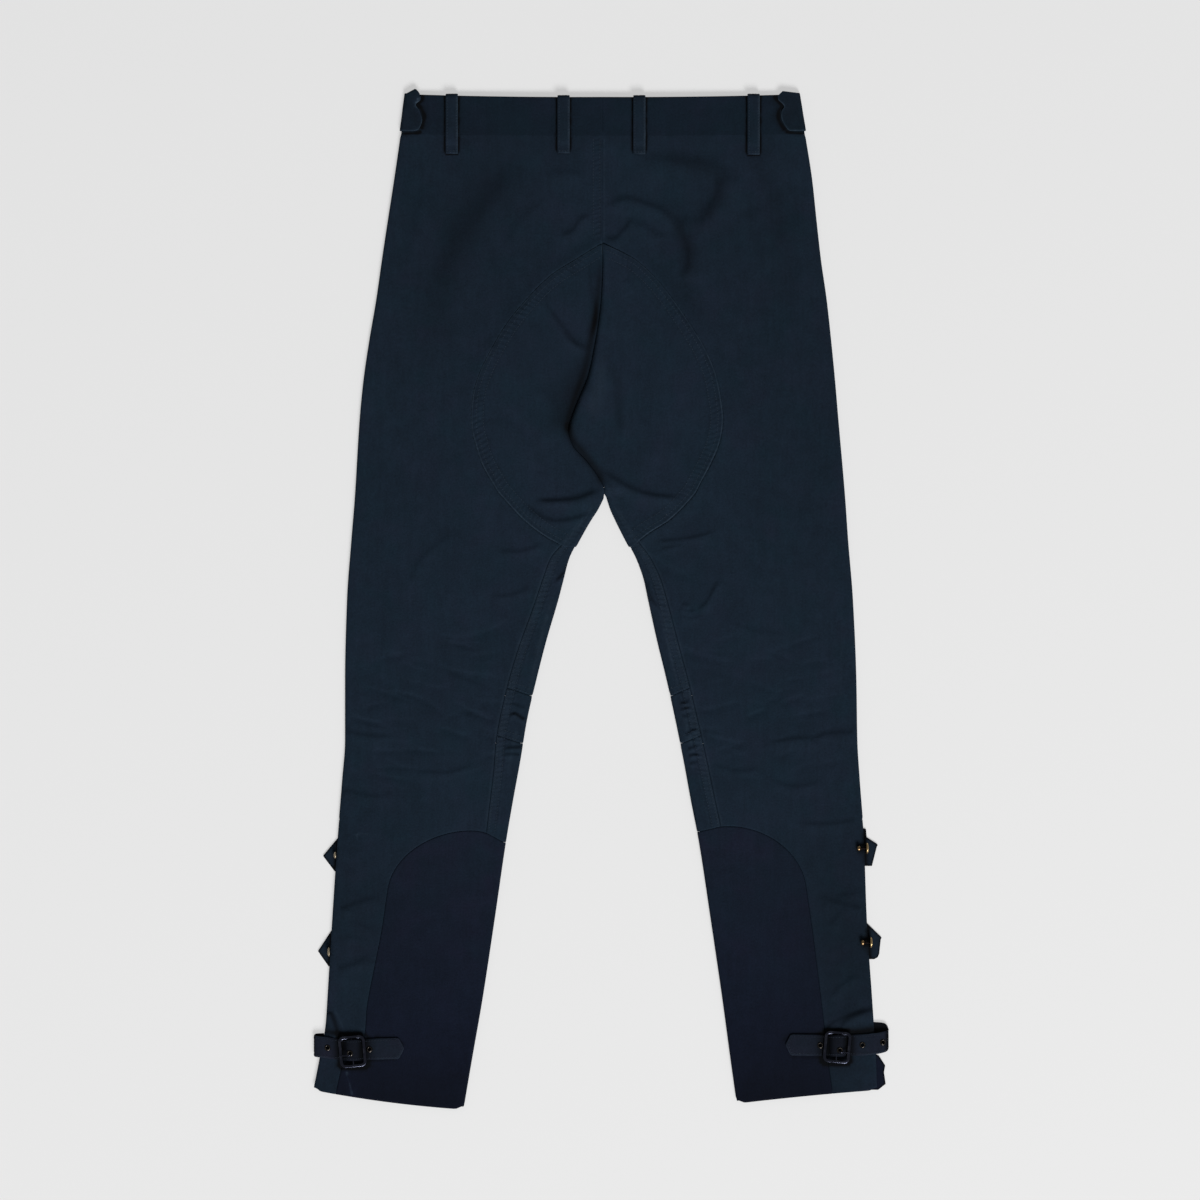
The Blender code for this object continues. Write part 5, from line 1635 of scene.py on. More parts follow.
def twill(name, colour, worn, cool, warm, low=None):
    """Dyed cotton twill: a fine diagonal weave, uneven dye, paler worn places and painted highlights,
    and painted shade.
    """
    n = Nodes(name)
    wide = n.noise(17, 2.0)
    middle = n.noise(75, 3.0)
    fine = n.noise(520, 2.0)
    slub = n.noise(260, 2.0, stretch=(1, 0.12, 1))
    tone = n.maths("ADD", n.scaled(wide, 0.3, 0.7, -0.2, 0.2), n.scaled(middle, 0.3, 0.7, -0.35, 0.35))
    tone = n.maths("ADD", tone, n.scaled(fine, 0.3, 0.7, -0.55, 0.55))
    tone = n.maths("ADD", tone, n.scaled(slub, 0.3, 0.7, -0.22, 0.22))
    hue = n.mix(n.scaled(n.noise(24, 2.0), 0.4, 0.6, 0, 1), cool, warm)
    shade = n.mix(n.scaled(n.noise(34, 3.0), 0.35, 0.65, 0, 1), colour, hue)
    if low is not None:
        split = n.add("ShaderNodeSeparateXYZ")
        n.link(n.place, split.inputs[0])
        shade = n.mix(n.scaled(split.outputs["Y"], LOW_FROM, LOW_TO, 0, 1), shade, low)
    gain = n.maths("ADD", n.maths("MULTIPLY", tone, MOTTLE), 1.0)
    lit = n.add("ShaderNodeVectorMath", operation="SCALE")
    n.link(shade, lit.inputs[0])
    n.link(gain, lit.inputs["Scale"])
    # The tone attribute pales the cloth for worn places and painted highlights, and darkens it, mostly
    # as painted shade.
    wear = n.add("ShaderNodeAttribute", attribute_name="tone")
    grains = n.scaled(n.noise(700, 2.0), 0.35, 0.65, 0.55, 1.35)
    pale = n.maths("MULTIPLY", n.maths("MAXIMUM", wear.outputs["Fac"], 0.0), grains, clamp=True)
    dark = n.maths("MULTIPLY", n.maths("MINIMUM", wear.outputs["Fac"], 0.0), -1.0, clamp=True)
    tinted = n.mix(pale, lit.outputs[0], worn)
    tinted = n.mix(dark, tinted, DEEP_SHADE)
    twist = n.add("ShaderNodeMapping")
    twist.inputs["Rotation"].default_value = (0, 0, math.radians(WALE_TURN))
    n.link(n.place, twist.inputs["Vector"])
    wave = n.add("ShaderNodeTexWave", wave_type="BANDS", bands_direction="X")
    wave.inputs["Scale"].default_value = 2 * math.pi / (20 * WALE)
    wave.inputs["Distortion"].default_value = 1.2
    wave.inputs["Detail"].default_value = 1.0
    n.link(twist.outputs[0], wave.inputs["Vector"])
    normal = n.bump(wave.outputs["Fac"], 0.00008, 0.6)
    normal = n.bump(fine, 0.00025, 0.6, normal)
    normal = n.bump(middle, 0.0008, 0.35, normal)
    return n.finish(tinted, normal, Roughness=0.88, Specular_IOR_Level=0.08)


def metal(name, colour, rough, worn, rim=(1, 1, 1), hollow=False):
    """Plated metal with faint scratches and a little wear, with painted black shade in a button's
    hollow.
    """
    n = Nodes(name)
    patches = n.noise(150, 3.0)
    scratches = n.noise(420, 4.0, stretch=(1, 0.15, 1), turn=0.7)
    colour_in = n.mix(n.scaled(patches, 0.52, 0.68, 0, 1), colour, worn)
    if hollow:
        split = n.add("ShaderNodeSeparateXYZ")
        n.link(n.place, split.inputs[0])
        x, y, z = split.outputs
        square = n.maths("ADD", n.maths("MULTIPLY", x, x), n.maths("MULTIPLY", y, y))
        narrow = n.maths("LESS_THAN", square, (HOLLOW_SHADE_RADIUS * MM) ** 2)
        low, high = HOLLOW
        deep = n.maths("COMPARE", z, (low + high) / 2 * MM)
        deep.node.inputs[2].default_value = (high - low) / 2 * MM
        colour_in = n.mix(n.maths("MULTIPLY", narrow, deep), colour_in, HOLLOW_SHADE)
    roughness = n.scaled(n.maths("ADD", patches, scratches), 0.7, 1.3, rough * 0.75, rough * 1.35)
    normal = n.bump(scratches, 0.00002, 0.15)
    return n.finish(colour_in, normal, Metallic=1.0, Roughness=roughness, Specular_Tint=(*rim, 1))


def thread_look(name, colour):
    n = Nodes(name)
    twist = n.noise(2500, 2.0, stretch=(1, 0.4, 1))
    shade = n.noise(60, 2.0)
    light = tuple(value * 1.7 for value in colour)
    both = n.mix(n.scaled(n.maths("ADD", twist, shade), 0.7, 1.3, 0, 1), colour, light)
    return n.finish(both, n.bump(twist, 0.0001, 0.5), Roughness=0.7, Specular_IOR_Level=0.2)


# Trims.


def back_top(leg, inside, down):
    """Height of the back layer's outer face."""
    place, _, _ = leg.wall(np.array([max(inside - EDGE, 0.0)]), np.array([float(down)]))
    return float(place[0, 2])


def ribbon_loop(path, half, step=1.6):
    """The whole strip along a path, as a cut shape."""
    end = path.length
    return polygon([(0.0, -half), (end, -half), (end, half), (0.0, half)], step)


def belt_loop(number, middle, bottom):
    """A strip sewn below the band, which rises over it and turns down past the waist edge."""
    leg = LEGS[0] if middle < float(CENTRE(0)) else LEGS[1]
    on_band = BAND / 2
    inside = abs(middle - float(leg.outer(on_band)))
    share = inside / float(leg.girth(0))
    top_y = WAIST_Y - float(leg.fall(0)) * share - float(leg.bow(0)) * 4 * share * (1 - share)
    base = back_top(leg, inside, on_band) + GAP + LOOP / 2
    path = [(bottom - above, rise) for above, rise in rows_of(LOOP_FOOT)]
    path += rows_of(LOOP_HEAD)
    path = Path([(middle, top_y - down, base + rise) for down, rise in path], (1, 0, 0), (0, 0, 1))
    loop = ribbon_loop(path, LOOP_WIDTH / 2)
    name = f"loop_strip_{number}"
    # The right edge is painted paler than the left: a painted highlight on the side towards the light.
    piece = strip(name, path, [loop], STRIP_CLOTH, step=1.4, crown=0.15, wear=(0.05, 0.6))
    keep(piece, LOOKS["loop"], "waistband_twill", f"belt_loop_{number}")
    rows = []
    for side in (-1, 1):
        row = side * (LOOP_WIDTH / 2 - 1.6)
        spots = [(2.0, row), (path.length - 4, row)]
        rows.append(strip_row(path, spots, STRIP_CLOTH / 2 + 0.1))
    for s in (1.6, 3.0):
        rows.append(strip_row(path, [(s, 0.6 - LOOP_WIDTH / 2), (s, LOOP_WIDTH / 2 - 0.6)], 0.95))
    thread = stitches(f"loop_thread_{number}", rows, LOOKS["thread"], "waistband_twill")
    sewn(loop)


def strip_row(path, spots, lift):
    """A row of stitches over a strip: spots are (distance along, distance across)."""
    spots = even(spots, 1.0)
    places, outs = path.place(spots[:, 0], spots[:, 1], lift)
    return places, outs


def waist_tab(leg):
    """A tab that comes round the end of the waistband from the front, with a shaped end."""
    middle = (TAB_TOP + TAB_BOTTOM) / 2
    radius = EDGE + GAP + TAB / 2
    reach, top, cut = (WAIST_TAB[leg.side][key] for key in ("reach", "top", "cut"))
    line = leg.point(0.0, TAB_BOTTOM, 0.0) - leg.point(0.0, 0.0, 0.0)
    stations = []
    for inside in (reach, reach / 2, EDGE):
        over_crown = 0.012 * (inside - EDGE)
        stations.append(leg.point(inside, middle, EDGE + radius + over_crown))
    for k in range(1, 6):
        angle = k * math.radians(25)  # round the leg's edge and a little under it
        inside = EDGE - radius * math.sin(angle)
        stations.append(leg.point(inside, middle, EDGE + radius * math.cos(angle)))
    half = (TAB_BOTTOM - TAB_TOP) / 2
    path = Path(stations, line, (0, 0, 1))
    shape = smooth(cut, 1.2)
    end = path.length
    loop = outline(
        shape,
        [shape[-1], (end, half)],
        [(end, half), (end, top)],
        [(end, top), (reach - 1.0, top)],
        [(reach - 1.0, top), shape[0]],
        step=1.2,
    )

    def shade(s, w):
        fray = (1.3 + noise(s, w, 1.6, 23)) * bell(s - 7.0, 2.4) * bell(w + 9.0, 4.5)
        return -0.22 - 0.12 * noise(s, w, 9, 24) + (fray if leg.side < 0 else 0)

    wear = (0.2, 0.9) if leg.side < 0 else (0.9, 1.2)
    name = f"side_tab_{leg.name}"
    piece = strip(name, path, [loop], TAB, step=1.2, edge_drop=0.4, shade=shade, wear=wear)
    keep(piece, LOOKS["loop"], "waistband_twill", f"waist_tab_{leg.name}")
    sewn(loop)


def strap_path(leg):
    """The strap from its tip, through the buckle and round the leg's edge to its sewn end."""
    edge = float(leg.outer(STRAP_DOWN[leg.side]))
    points = []
    lie = STRAP_LIE[leg.side]
    count = len(STRAP_PATH["inside"])
    for k, (inside, height) in enumerate(zip(STRAP_PATH["inside"], STRAP_PATH["height"])):
        rise = float(np.interp(inside, *zip(*lie)))
        if k >= count - len(STRAP_BEHIND[leg.side]):
            rise = STRAP_BEHIND[leg.side][k - count]
        if inside < 0:
            inside = inside * STRAP_SLACK[leg.side]
        if inside >= STRAP_FRAMED:
            inside += STRAP_PULLED[leg.side]
        if k == count - 1:
            inside, height = STRAP_ROOT[leg.side]
        points.append((edge - leg.side * inside, WAIST_Y - STRAP_DOWN[leg.side] + rise, height))
    return Path(points, (0, 1, 0), (0, 0, 1))


def strap_place(leg, path, inside):
    """Distance along the strap where it first crosses a distance inside the leg's edge."""
    x = float(leg.outer(STRAP_DOWN[leg.side])) - leg.side * inside
    past = (path.at[:, 0] - x) * leg.side >= 0
    return float(path.arc[int(np.argmax(past))])


def ankle_strap(leg):
    """The strap with its stitches and eyelets, shaded inside the buckle and where it turns under."""
    path = strap_path(leg)
    half = STRAP_WIDTH / 2
    upper = [(1.0, 2.2), (5.2, half - 0.8), (STRAP_TIP, half)]
    lower = [(s, -w) for s, w in reversed(upper)]
    tip = smooth([*lower, (0.3, 0.0), *upper], 1.2)
    end = path.length
    corners = [upper[-1], (end, half), (end, -half), lower[0]]
    loop = outline(tip, *zip(corners, corners[1:]), step=1.4)
    places = [strap_place(leg, path, inside) for inside in EYELETS_INSIDE[leg.side]]
    asides = [0.0] * len(places)
    asides[PRONG_EYELET[leg.side]] = PRONG_ASIDE[leg.side]
    holes = [circle(s, aside, BARREL + 0.1, 20) for s, aside in zip(places, asides)]
    bars = [strap_place(leg, path, inside + STRAP_PULLED[leg.side]) for inside in BARS_INSIDE]
    turned = strap_place(leg, path, -4.0 * STRAP_SLACK[leg.side])

    # Painted shade on the strap inside the buckle's frame, by its bars, and past where it turns under.
    def shade(s, w):
        near_bars = bell(s - bars[0], 7.0) + bell(s - bars[1], 6.0)
        framed = ease(s, bars[0], bars[0] + 3) * (1 - ease(s, bars[1] - 3, bars[1]))
        return -0.55 * framed - 0.95 * near_bars - 0.95 * ease(s, turned, turned + 4)

    name = f"strap_{leg.name}"
    piece = strip(name, path, [loop, *holes], STRIP_CLOTH, step=1.7, crown=0.1, shade=shade)
    keep(piece, LOOKS["strap"], "strap_cloth", f"ankle_strap_{leg.name}")
    rows = []
    for side in (-1, 1):
        spots = [(7.5, side * (half - 2.0)), (end - 2, side * (half - 2.0))]
        rows.append(strip_row(path, spots, 0.83))
    rows.append(strip_row(path, [(7.0, 2.0 - half), (2.9, 0), (7.0, half - 2.0)], 0.8))
    thread = stitches(f"strap_thread_{leg.name}", rows, LOOKS["strap_thread"], "strap_cloth")
    sewn(loop)
    for number, (s, aside) in enumerate(zip(places, asides), 1):
        place, out = path.place(np.array([s]), np.array([aside]))
        eyelet(f"{leg.name}_{number}", place[0], out[0])


def solid(name, points, faces, sharp):
    """A closed mesh with all its faces turned outwards."""
    made = smooth_mesh(name, points, faces, sharp=sharp)
    mesh = bmesh.new()
    mesh.from_mesh(made.data)
    bmesh.ops.recalc_face_normals(mesh, faces=mesh.faces)
    mesh.to_mesh(made.data)
    mesh.free()
    return made


def lathe(name, profile, segments, sharp=40):
    """A closed (radius, height) profile turned about Z."""
    points, faces = [], []
    on_axis = [radius < 1e-6 for radius, _ in profile]
    starts = []
    for (radius, height), axis in zip(profile, on_axis):
        starts.append(len(points))
        for k in range(1 if axis else segments):
            angle = 2 * math.pi * k / segments
            points.append((radius * math.cos(angle), radius * math.sin(angle), height))
    closed = not any(on_axis)
    last = len(profile) if closed else len(profile) - 1
    for i in range(last):
        j = (i + 1) % len(profile)
        for k in range(segments):
            m = (k + 1) % segments
            ring = (
                starts[i] + (0 if on_axis[i] else k),
                starts[i] + (0 if on_axis[i] else m),
                starts[j] + (0 if on_axis[j] else m),
                starts[j] + (0 if on_axis[j] else k),
            )
            faces.append(tuple(dict.fromkeys(ring)))
    return solid(name, points, faces, sharp)


def stand(made, place, out):
    """Sets a turned piece at a place with its axis along out."""
    made.location = Vector(place) * MM
    made.rotation_mode = "QUATERNION"
    made.rotation_quaternion = Vector(out).to_track_quat("Z", "Y")
    bpy.context.view_layer.update()


def rounded(corners, radius, steps=4):
    """A closed profile with its corners rounded."""
    found = []
    corners = np.array(corners, float)
    for i, corner in enumerate(corners):
        if corner[0] < 1e-6:
            found.append(tuple(corner))
            continue
        to_before, to_after = corners[i - 1] - corner, corners[(i + 1) % len(corners)] - corner
        cut = min(radius, np.linalg.norm(to_before) * 0.45, np.linalg.norm(to_after) * 0.45)
        start = corner + to_before / np.linalg.norm(to_before) * cut
        end = corner + to_after / np.linalg.norm(to_after) * cut
        for k in range(steps + 1):
            t = k / steps
            found.append(tuple(start * (1 - t) ** 2 + corner * 2 * t * (1 - t) + end * t * t))
    return found


def eyelet(name, place, out):
    """A turned ring whose barrel passes through the strap's hole."""
    top = STRAP / 2 + GAP
    bore, rim = BARREL - 0.5, BARREL + 1.15
    corners = [(bore, -STRAP / 2), (BARREL, -STRAP / 2), (BARREL, top), (rim, top - 0.05)]
    corners += [(rim - 0.15, top + 0.35), (bore + 0.75, top + 0.75), (bore, top + 0.2)]
    ring = lathe(f"eyelet_ring_{name}", rounded(corners, 0.3), 36)
    stand(ring, place, out)
    keep(ring, LOOKS["bronze"], "dark_bronze", f"eyelet_{name}")


def bar_ring(width, thick, half_x, half_y, corner):
    """A rounded rectangle of round-edged bar, as points and faces."""
    points, faces = [], []
    steps, around = 8, 16
    for k in range(4):
        x, y = ((1, 1), (-1, 1), (-1, -1), (1, -1))[k]
        centre = np.array((x * (half_x - corner), y * (half_y - corner), 0.0))
        for step in range(steps + 1):
            angle = (k + step / steps) * math.pi / 2
            out = np.array((math.cos(angle), math.sin(angle), 0.0))
            for side in range(around):
                about = side * 2 * math.pi / around
                squared = abs(math.cos(about)) ** 0.8 * math.copysign(1, math.cos(about))
                point = centre + out * (corner + width / 2 * squared)
                point[2] = thick / 2 * math.copysign(abs(math.sin(about)) ** 0.8, math.sin(about))
                points.append(point)
    count = 4 * (steps + 1)
    for ring in range(count):
        following = (ring + 1) % count
        for side in range(around):
            after = (side + 1) % around
            row, far = ring * around, following * around
            faces.append((row + side, row + after, far + after, far + side))
    return points, faces


DOME = (0.35, 0.75, 0.93, 1.0)  # share of a wire's radius at its ends' first rings


def tube(points, radius, around=12):
    """A round wire along points, with domed ends, as points and faces."""
    line = smooth(points, 0.35)
    ahead = unit(np.gradient(line, axis=0))
    side = np.array((0.0, 1.0, 0.0))
    made, faces = [], []
    for i, (centre, forward) in enumerate(zip(line, ahead)):
        across = side - forward * np.dot(side, forward)
        if np.linalg.norm(across) < 0.2:
            across = np.array((1.0, 0.0, 0.0)) - forward * forward[0]
        across /= np.linalg.norm(across)
        up = np.cross(forward, across)
        from_end = min(i, len(line) - 1 - i)
        size = radius * DOME[min(from_end, len(DOME) - 1)]
        for k in range(around):
            angle = 2 * math.pi * k / around
            made.append(centre + (across * math.cos(angle) + up * math.sin(angle)) * size)
    for ring in range(len(line) - 1):
        for k in range(around):
            m = (k + 1) % around
            row, far = ring * around, (ring + 1) * around
            faces.append((row + k, row + m, far + m, far + k))
    faces.append(tuple(range(around))[::-1])
    faces.append(tuple(range((len(line) - 1) * around, len(line) * around)))
    return made, faces


def gather(name, parts, sharp=50):
    """One mesh from several (points, faces)."""
    points, faces = [], []
    for some_points, some_faces in parts:
        first = len(points)
        points += list(some_points)
        faces += [tuple(i + first for i in face) for face in some_faces]
    return solid(name, points, faces, sharp)


def buckle(leg):
    """A frame with its centre bar, a prong curled round the bar, and the keeper that holds both."""
    width, thick = BUCKLE_BAR
    half_x, half_y = (size / 2 - width / 2 for size in BUCKLE_SIZE)
    bars = [bar_ring(width, thick, half_x, half_y, BUCKLE_CORNER - width / 2)]
    rod = [(0, -half_y - 0.4, 0), (0, -half_y / 2, 0), (0, half_y / 2, 0), (0, half_y + 0.4, 0)]
    bars.append(tube(rod, CENTRE_BAR))
    frame_piece = gather(f"buckle_{leg.name}", bars)
    curl = CENTRE_BAR + GAP + PRONG
    angles = [math.radians(angle) for angle in range(150, 361, 30)]
    wire = [(curl * math.cos(angle), curl * math.sin(angle)) for angle in angles]
    wire += rows_of(PRONG_PATH)
    aside = PRONG_ASIDE[leg.side]
    wire = [(leg.side * x, aside, z) for x, z in wire]
    prong = gather(f"prong_{leg.name}", [tube(wire, PRONG, 14)])
    arch_radius = CENTRE_BAR + GAP + KEEPER / 2
    foot = rows_of(KEEPER_FOOT)
    turns = [k * math.pi / 6 for k in range(7)]
    arch = [(arch_radius * math.cos(turn), arch_radius * math.sin(turn)) for turn in turns]
    line = [*foot, *arch, *((-x, z) for x, z in reversed(foot))]
    path = Path([(x, 0.0, z) for x, z in line], (0, 1, 0), (0, 0, 1))
    loop = ribbon_loop(path, KEEPER_WIDTH / 2, step=1.0)
    middle = path.length / 2
    low, high = aside - SLOT_WIDTH / 2, aside + SLOT_WIDTH / 2
    near, far = middle - SLOT_LENGTH / 2, middle + SLOT_LENGTH / 2
    slot = [(near, low), (near, high), (far, high), (far, low)]
    slot = polygon(slot, 0.8)[::-1]
    keeper = strip(f"keeper_{leg.name}", path, [loop, slot], 0.95, step=1.0, edge_drop=0.2)
    y = WAIST_Y - STRAP_DOWN[leg.side]
    inside = BUCKLE_INSIDE + STRAP_PULLED[leg.side]
    x = float(leg.outer(STRAP_DOWN[leg.side])) - leg.side * inside
    for piece in (frame_piece, prong, keeper):
        piece.location = Vector((x, y, BUCKLE_HEIGHT)) * MM
        piece.rotation_euler.z = math.radians(BUCKLE_TWIST[leg.side])
    bpy.context.view_layer.update()
    for piece, node in ((frame_piece, "buckle_frame"), (prong, "buckle_prong")):
        keep(piece, LOOKS["black"], "black_metal", f"{node}_{leg.name}")
    keep(keeper, LOOKS["strap"], "strap_cloth", f"buckle_keeper_{leg.name}")
    sewn(loop)


def flat_cloth(name, slot, node, look, corners, low, thick, step=1.8, shade=None):
    """A flat piece of cloth from its corners, whose underside is at a height of low."""
    loop = polygon(corners, step)
    distance = from_border(loop)

    def place(x, y):
        height = low + thick + 0.12 * noise(x, y, 7, 31)
        # A little darker all over, with painted shade along the cut edge.
        tone = -0.12 - 0.9 * bell(distance(x, y), 1.3)
        if shade is not None:
            tone = tone + shade(x, y)
        return np.stack([x, y, height], 1), np.tile((0.0, 0.0, 1.0), (len(x), 1)), tone

    fill = hexagons(loop.min(0), loop.max(0), step)
    piece = shell(name, [loop], lambda outer: fill, place, thick, STRIP_DROP, STRIP_RINGS)
    keep(piece, look, slot, node)
    sewn(loop)


def vents(leg):
    """The tabs, buttons and underlap that show past the outer edge of the shin."""
    root_inside = EDGE + SIDE_UNDER - GAP

    def at(inside, down):
        return float(leg.outer(down)) - leg.side * inside, WAIST_Y - down

    # Painted shade on the tabs beside the leg's edge.
    def shade(x, y):
        outside = (x - leg.outer(WAIST_Y - y)) * leg.side
        return -0.95 * bell(np.maximum(outside, 0), 2.3 if leg.side < 0 else 3.0)

    for side, place, top, shoulder, tip_down, tip_out, foot, foot_out in rows_of(VENT_TABS):
        if side != leg.side:
            continue
        corners = [(root_inside, top), (0, top)]
        if shoulder:
            corners += [(-2.6, top + 1), (-2.8, top + shoulder)]
        corners += [(1 - tip_out, tip_down - TAB_POINT)]
        corners += [(-tip_out, tip_down), (1 - tip_out, tip_down + TAB_POINT)]
        corners += [(x - foot_out, foot + y) for x, y in TAB_FOOT.get((place, side), SQUARE_FOOT)]
        corners = [at(inside, down) for inside, down in [*corners, (root_inside, foot)]]
        name = f"{place}_{leg.name}"
        names = f"tab_{name}", "navy_twill", f"vent_tab_{name}"
        flat_cloth(*names, LOOKS["twill"], corners, 0.0, TAB_CLOTH, shade=shade)
    for side, place, down, size in rows_of(VENT_BUTTONS):
        if side != leg.side:
            continue
        profile = [(radius * size, height) for radius, height in BUTTON[side]]
        look = LOOKS["pale_metal" if leg.side < 0 else "brass"]
        button = lathe(f"button_{place}_{leg.name}", rounded(profile, 0.35), 40)
        tilt = math.radians(BUTTON_TILT[side])
        middle = (*at(-BUTTON_OUT[side], down), BUTTON_HEIGHT[side])
        stand(button, middle, (leg.side * math.cos(tilt), 0, math.sin(tilt)))
        keep(button, look, "brass", f"vent_button_{place}_{leg.name}")
    corners = [(root_inside, UNDERLAP_TOP), *UNDERLAP_EDGE[leg.side]]
    corners.append((root_inside, UNDERLAP_EDGE[leg.side][-1][1]))
    corners = [at(inside, down) for inside, down in corners]
    names = f"underlap_{leg.name}", "calf_twill", f"vent_underlap_{leg.name}"
    flat_cloth(*names, LOOKS["calf"], corners, 0.0, TAB_CLOTH)


def fly_shield():
    middle, half, top, bottom = 3.0, 18.0, 66.0, 235.0
    corners = [(middle - half, top), (middle + half, top), (middle + half, bottom - half)]
    for k in range(1, 9):
        angle = k * math.pi / 16
        across = middle - half + 2 * half * math.cos(angle)
        corners.append((across, bottom - half + half * math.sin(angle)))
    corners = [(x, WAIST_Y - down) for x, down in corners]
    names = "fly_facing", "navy_twill", "fly_shield"
    flat_cloth(*names, LOOKS["twill"], corners, CLOTH + GAP - 0.2, 0.8, step=4)


# Putting it together.


BESIDE_SEAT = 1.25  # how far the back panel stands up to the seat patch


def body_place(leg, u, v):
    """The back panel, which stands up beside the seat patch to meet its edge."""
    place, out, tone = leg.wall(u, v)
    seat_line = SEAT_LINES[leg.side]
    found, off, _ = seat_line.near(place[:, 0], WAIST_Y - place[:, 1])
    if len(found):
        outside = -off * seat_line.sign * leg.side
        place[found, 2] += BESIDE_SEAT * ease(outside, -0.2, 0.9) * bell(np.maximum(outside, 0), 9.0)
    return place, out, tone


def panel(leg, name, loop, fine, rough, look, slot, node, place=None, edge_drop=0.45):
    """A cloth panel of the leg's wall, with points at the fine steps outside and the rough inside."""
    piece = shell(
        name,
        [loop],
        lambda outer: leg_fill(leg, loop, *(fine if outer else rough)),
        place or leg.wall,
        SHELL,
        edge_drop,
    )
    keep(piece, LOOKS[look], slot, node)
    sewn(loop)


def panels(leg):
    name = leg.name
    threads = leg_threads(leg)
    panel(
        leg, f"back_cloth_{name}", back_loop(leg), (2.6, 1.3), (5.0,), "twill", "navy_twill",
        f"back_{name}",
        place=lambda u, v: body_place(leg, u, v),
        edge_drop=lambda v: 0.1 + 0.35 * ease(v, BAND + 2, BAND + 5),
    )
    panel(
        leg, f"calf_cloth_{name}", calf_loop(leg), (2.8, 1.5), (6.0,), "calf", "calf_twill",
        f"calf_patch_{name}",
    )
    for part, loop in front_loops(leg).items():
        panel(
            leg, f"front_{part}_cloth_{name}", loop, (1.8,), (5.0,), "twill", "navy_twill",
            f"front_{part}_{name}",
        )
    seat = SeatPatch(leg)
    cut = seat.loop()
    fine, rough = (hexagons(cut.min(0), cut.max(0), step) for step in (1.7, 4.0))

    def fill(outer):
        return fine if outer else rough

    piece = shell(f"seat_cloth_{name}", [cut], fill, seat.place, SHELL)
    keep(piece, LOOKS["twill"], "navy_twill", f"seat_patch_{name}")
    sewn(cut)
    for side, loop in zip(("back", "front"), waistband_loops(leg)):
        panel(
            leg, f"band_{side}_{name}", loop, (2.4, 1.1), (6.0,), "band", "waistband_twill",
            f"waistband_{side}_{name}",
            edge_drop=lambda v: 0.45 - 0.35 * ease(v, BAND - 5, BAND - 2),
        )


# Colours as linear red, green and blue: each cloth drifts between its teal and its purple.
# The paler colour is used for worn places and for painted highlights.
NAVY, NAVY_WEAR_AND_HIGHLIGHT = (0.0069, 0.0139, 0.0243), (0.028, 0.044, 0.064)
TEAL, PURPLE = (0.0060, 0.0141, 0.0238), (0.0078, 0.0137, 0.0250)
BAND_BLUE, BAND_PURPLE = (0.0045, 0.0101, 0.0181), (0.0054, 0.0098, 0.0187)
BAND_TEAL = (0.0040, 0.0104, 0.0175)
LOOP_BLUE = (0.0060, 0.0118, 0.0202)
CALF_TOP, CALF_HEM = (0.0056, 0.0100, 0.0194), (0.0038, 0.0061, 0.0149)
CALF_TEAL, CALF_PURPLE = (0.0050, 0.0102, 0.0188), (0.0068, 0.0094, 0.0200)
STRAP_BLUE, STRAP_PURPLE = (0.0074, 0.0102, 0.0186), (0.0084, 0.0100, 0.0192)
STRAP_TEAL = (0.0064, 0.0106, 0.0184)
DARK_RIM = (0.22, 0.24, 0.32)
LOOKS = {
    "twill": twill("Navy twill", NAVY, NAVY_WEAR_AND_HIGHLIGHT, TEAL, PURPLE),
    "calf": twill("Calf twill", CALF_TOP, NAVY_WEAR_AND_HIGHLIGHT, CALF_TEAL, CALF_PURPLE, low=CALF_HEM),
    "band": twill("Waistband twill", BAND_BLUE, NAVY_WEAR_AND_HIGHLIGHT, BAND_TEAL, BAND_PURPLE),
    "loop": twill("Loop twill", LOOP_BLUE, NAVY_WEAR_AND_HIGHLIGHT, BAND_TEAL, PURPLE),
    "strap": twill("Strap twill", STRAP_BLUE, NAVY_WEAR_AND_HIGHLIGHT, STRAP_TEAL, STRAP_PURPLE),
    "thread": thread_look("Navy thread", (0.0105, 0.0180, 0.0290)),
    "strap_thread": thread_look("Strap thread", (0.0085, 0.0125, 0.0220)),
    "black": metal("Black nickel", (0.028, 0.031, 0.046), 0.2, (0.055, 0.06, 0.08), rim=DARK_RIM),
    "bronze": metal("Dark bronze", (0.030, 0.027, 0.024), 0.24, (0.09, 0.08, 0.07), rim=DARK_RIM),
    "brass": metal("Brass", (0.38, 0.27, 0.13), 0.3, (0.15, 0.09, 0.045), hollow=True),
    "pale_metal": metal("Pale brass", (0.32, 0.27, 0.19), 0.5, (0.22, 0.17, 0.11)),
}

for leg in LEGS:
    panels(leg)
    waist_tab(leg)
    ankle_strap(leg)
    buckle(leg)
    vents(leg)
fly_shield()
for number, middle, bottom in rows_of(BELT_LOOPS):
    belt_loop(number, middle, bottom)


# Floor, camera and light.


FLOOR_SIZE, FLOOR_DROP = 14, 0.0005
CAMERA_PLACE, FOCAL_LENGTH, SENSOR = (0.0005, -0.0001, 5.15), 150, 36


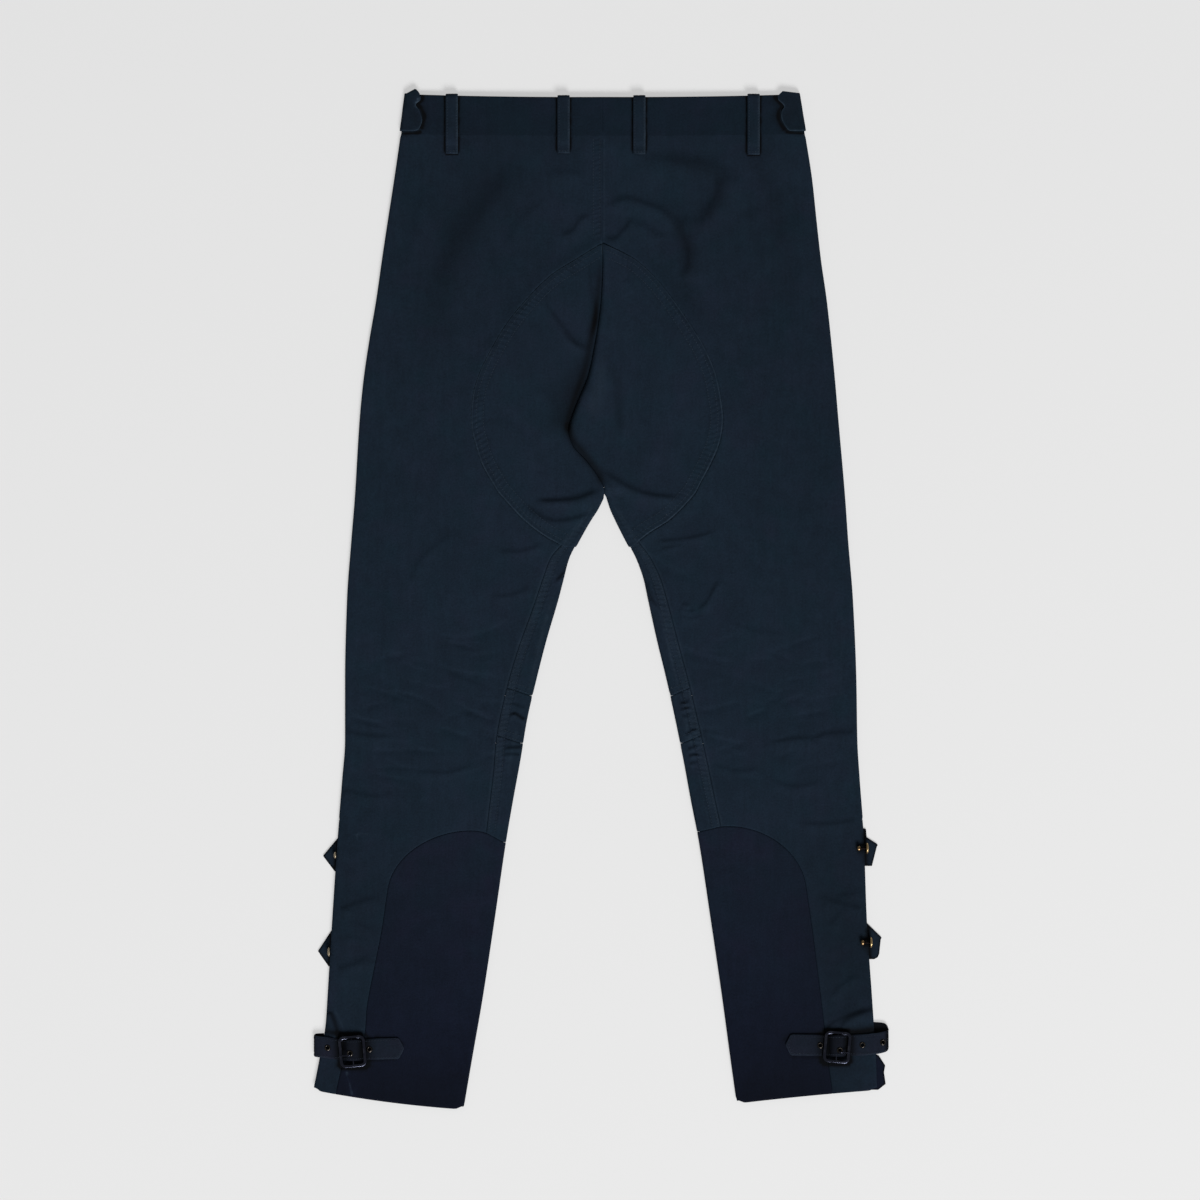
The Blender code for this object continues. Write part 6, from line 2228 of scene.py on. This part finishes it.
def stage():
    """The floor, which glows a little brighter towards the hems, the camera and the even light."""
    bpy.ops.mesh.primitive_plane_add(size=FLOOR_SIZE, location=(0, 0, -FLOOR_DROP))
    floor = bpy.context.object
    floor.name = "floor"
    n = Nodes("Pale floor")
    split = n.add("ShaderNodeSeparateXYZ")
    n.link(n.place, split.inputs[0])
    # The floor's glow is painted light: it gives the floor most of its brightness and keeps the
    # garment's shadow on it faint.
    glow = n.scaled(split.outputs["Y"], 0.6, -0.6, 0.470, 0.508, clamp=True)
    glow = n.maths("ADD", glow, n.scaled(split.outputs["X"], -0.6, 0.6, -0.004, 0.006, clamp=True))
    n.finish(
        (0.30, 0.30, 0.30),
        Roughness=0.9,
        Specular_IOR_Level=0.1,
        Emission_Color=glow,
        Emission_Strength=1.0,
    )
    floor.data.materials.append(n.look)
    floor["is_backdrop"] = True
    camera = bpy.data.objects.new("camera", bpy.data.cameras.new("camera"))
    bpy.context.scene.collection.objects.link(camera)
    camera.data.lens = FOCAL_LENGTH
    camera.data.sensor_width = SENSOR
    camera.data.clip_end = 50
    camera.location = CAMERA_PLACE
    bpy.context.scene.camera = camera
    world = bpy.context.scene.world or bpy.data.worlds.new("World")
    bpy.context.scene.world = world
    world.use_nodes = True
    sky = world.node_tree.nodes["Background"].inputs
    sky["Color"].default_value = (1, 1, 1, 1)
    sky["Strength"].default_value = 0.30
    bpy.context.scene.view_settings.view_transform = "Standard"
    bpy.context.scene.view_settings.look = "None"


def aim(data, place):
    """A light that shines from a place towards the middle of the garment."""
    made = bpy.data.objects.new(data.name, data)
    bpy.context.scene.collection.objects.link(made)
    made.rotation_mode = "QUATERNION"
    made.rotation_quaternion = (-Vector(place)).to_track_quat("-Z", "Y")
    return made


def softbox(name, place, size, power):
    data = bpy.data.lights.new(name, "AREA")
    data.shape = "RECTANGLE"
    data.size, data.size_y = size
    data.energy = power
    aim(data, place).location = place


def sunlight(place, spread, strength):
    """Even light over the whole floor, as soft as a large window."""
    data = bpy.data.lights.new("key", "SUN")
    data.energy = strength
    data.angle = math.radians(spread)
    aim(data, place)


stage()
sunlight((0.28, -1.0, 0.86), 24, 3.12)
softbox("fill", (1.9, -2.7, 2.6), (1.0, 0.8), 22)

low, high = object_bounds()
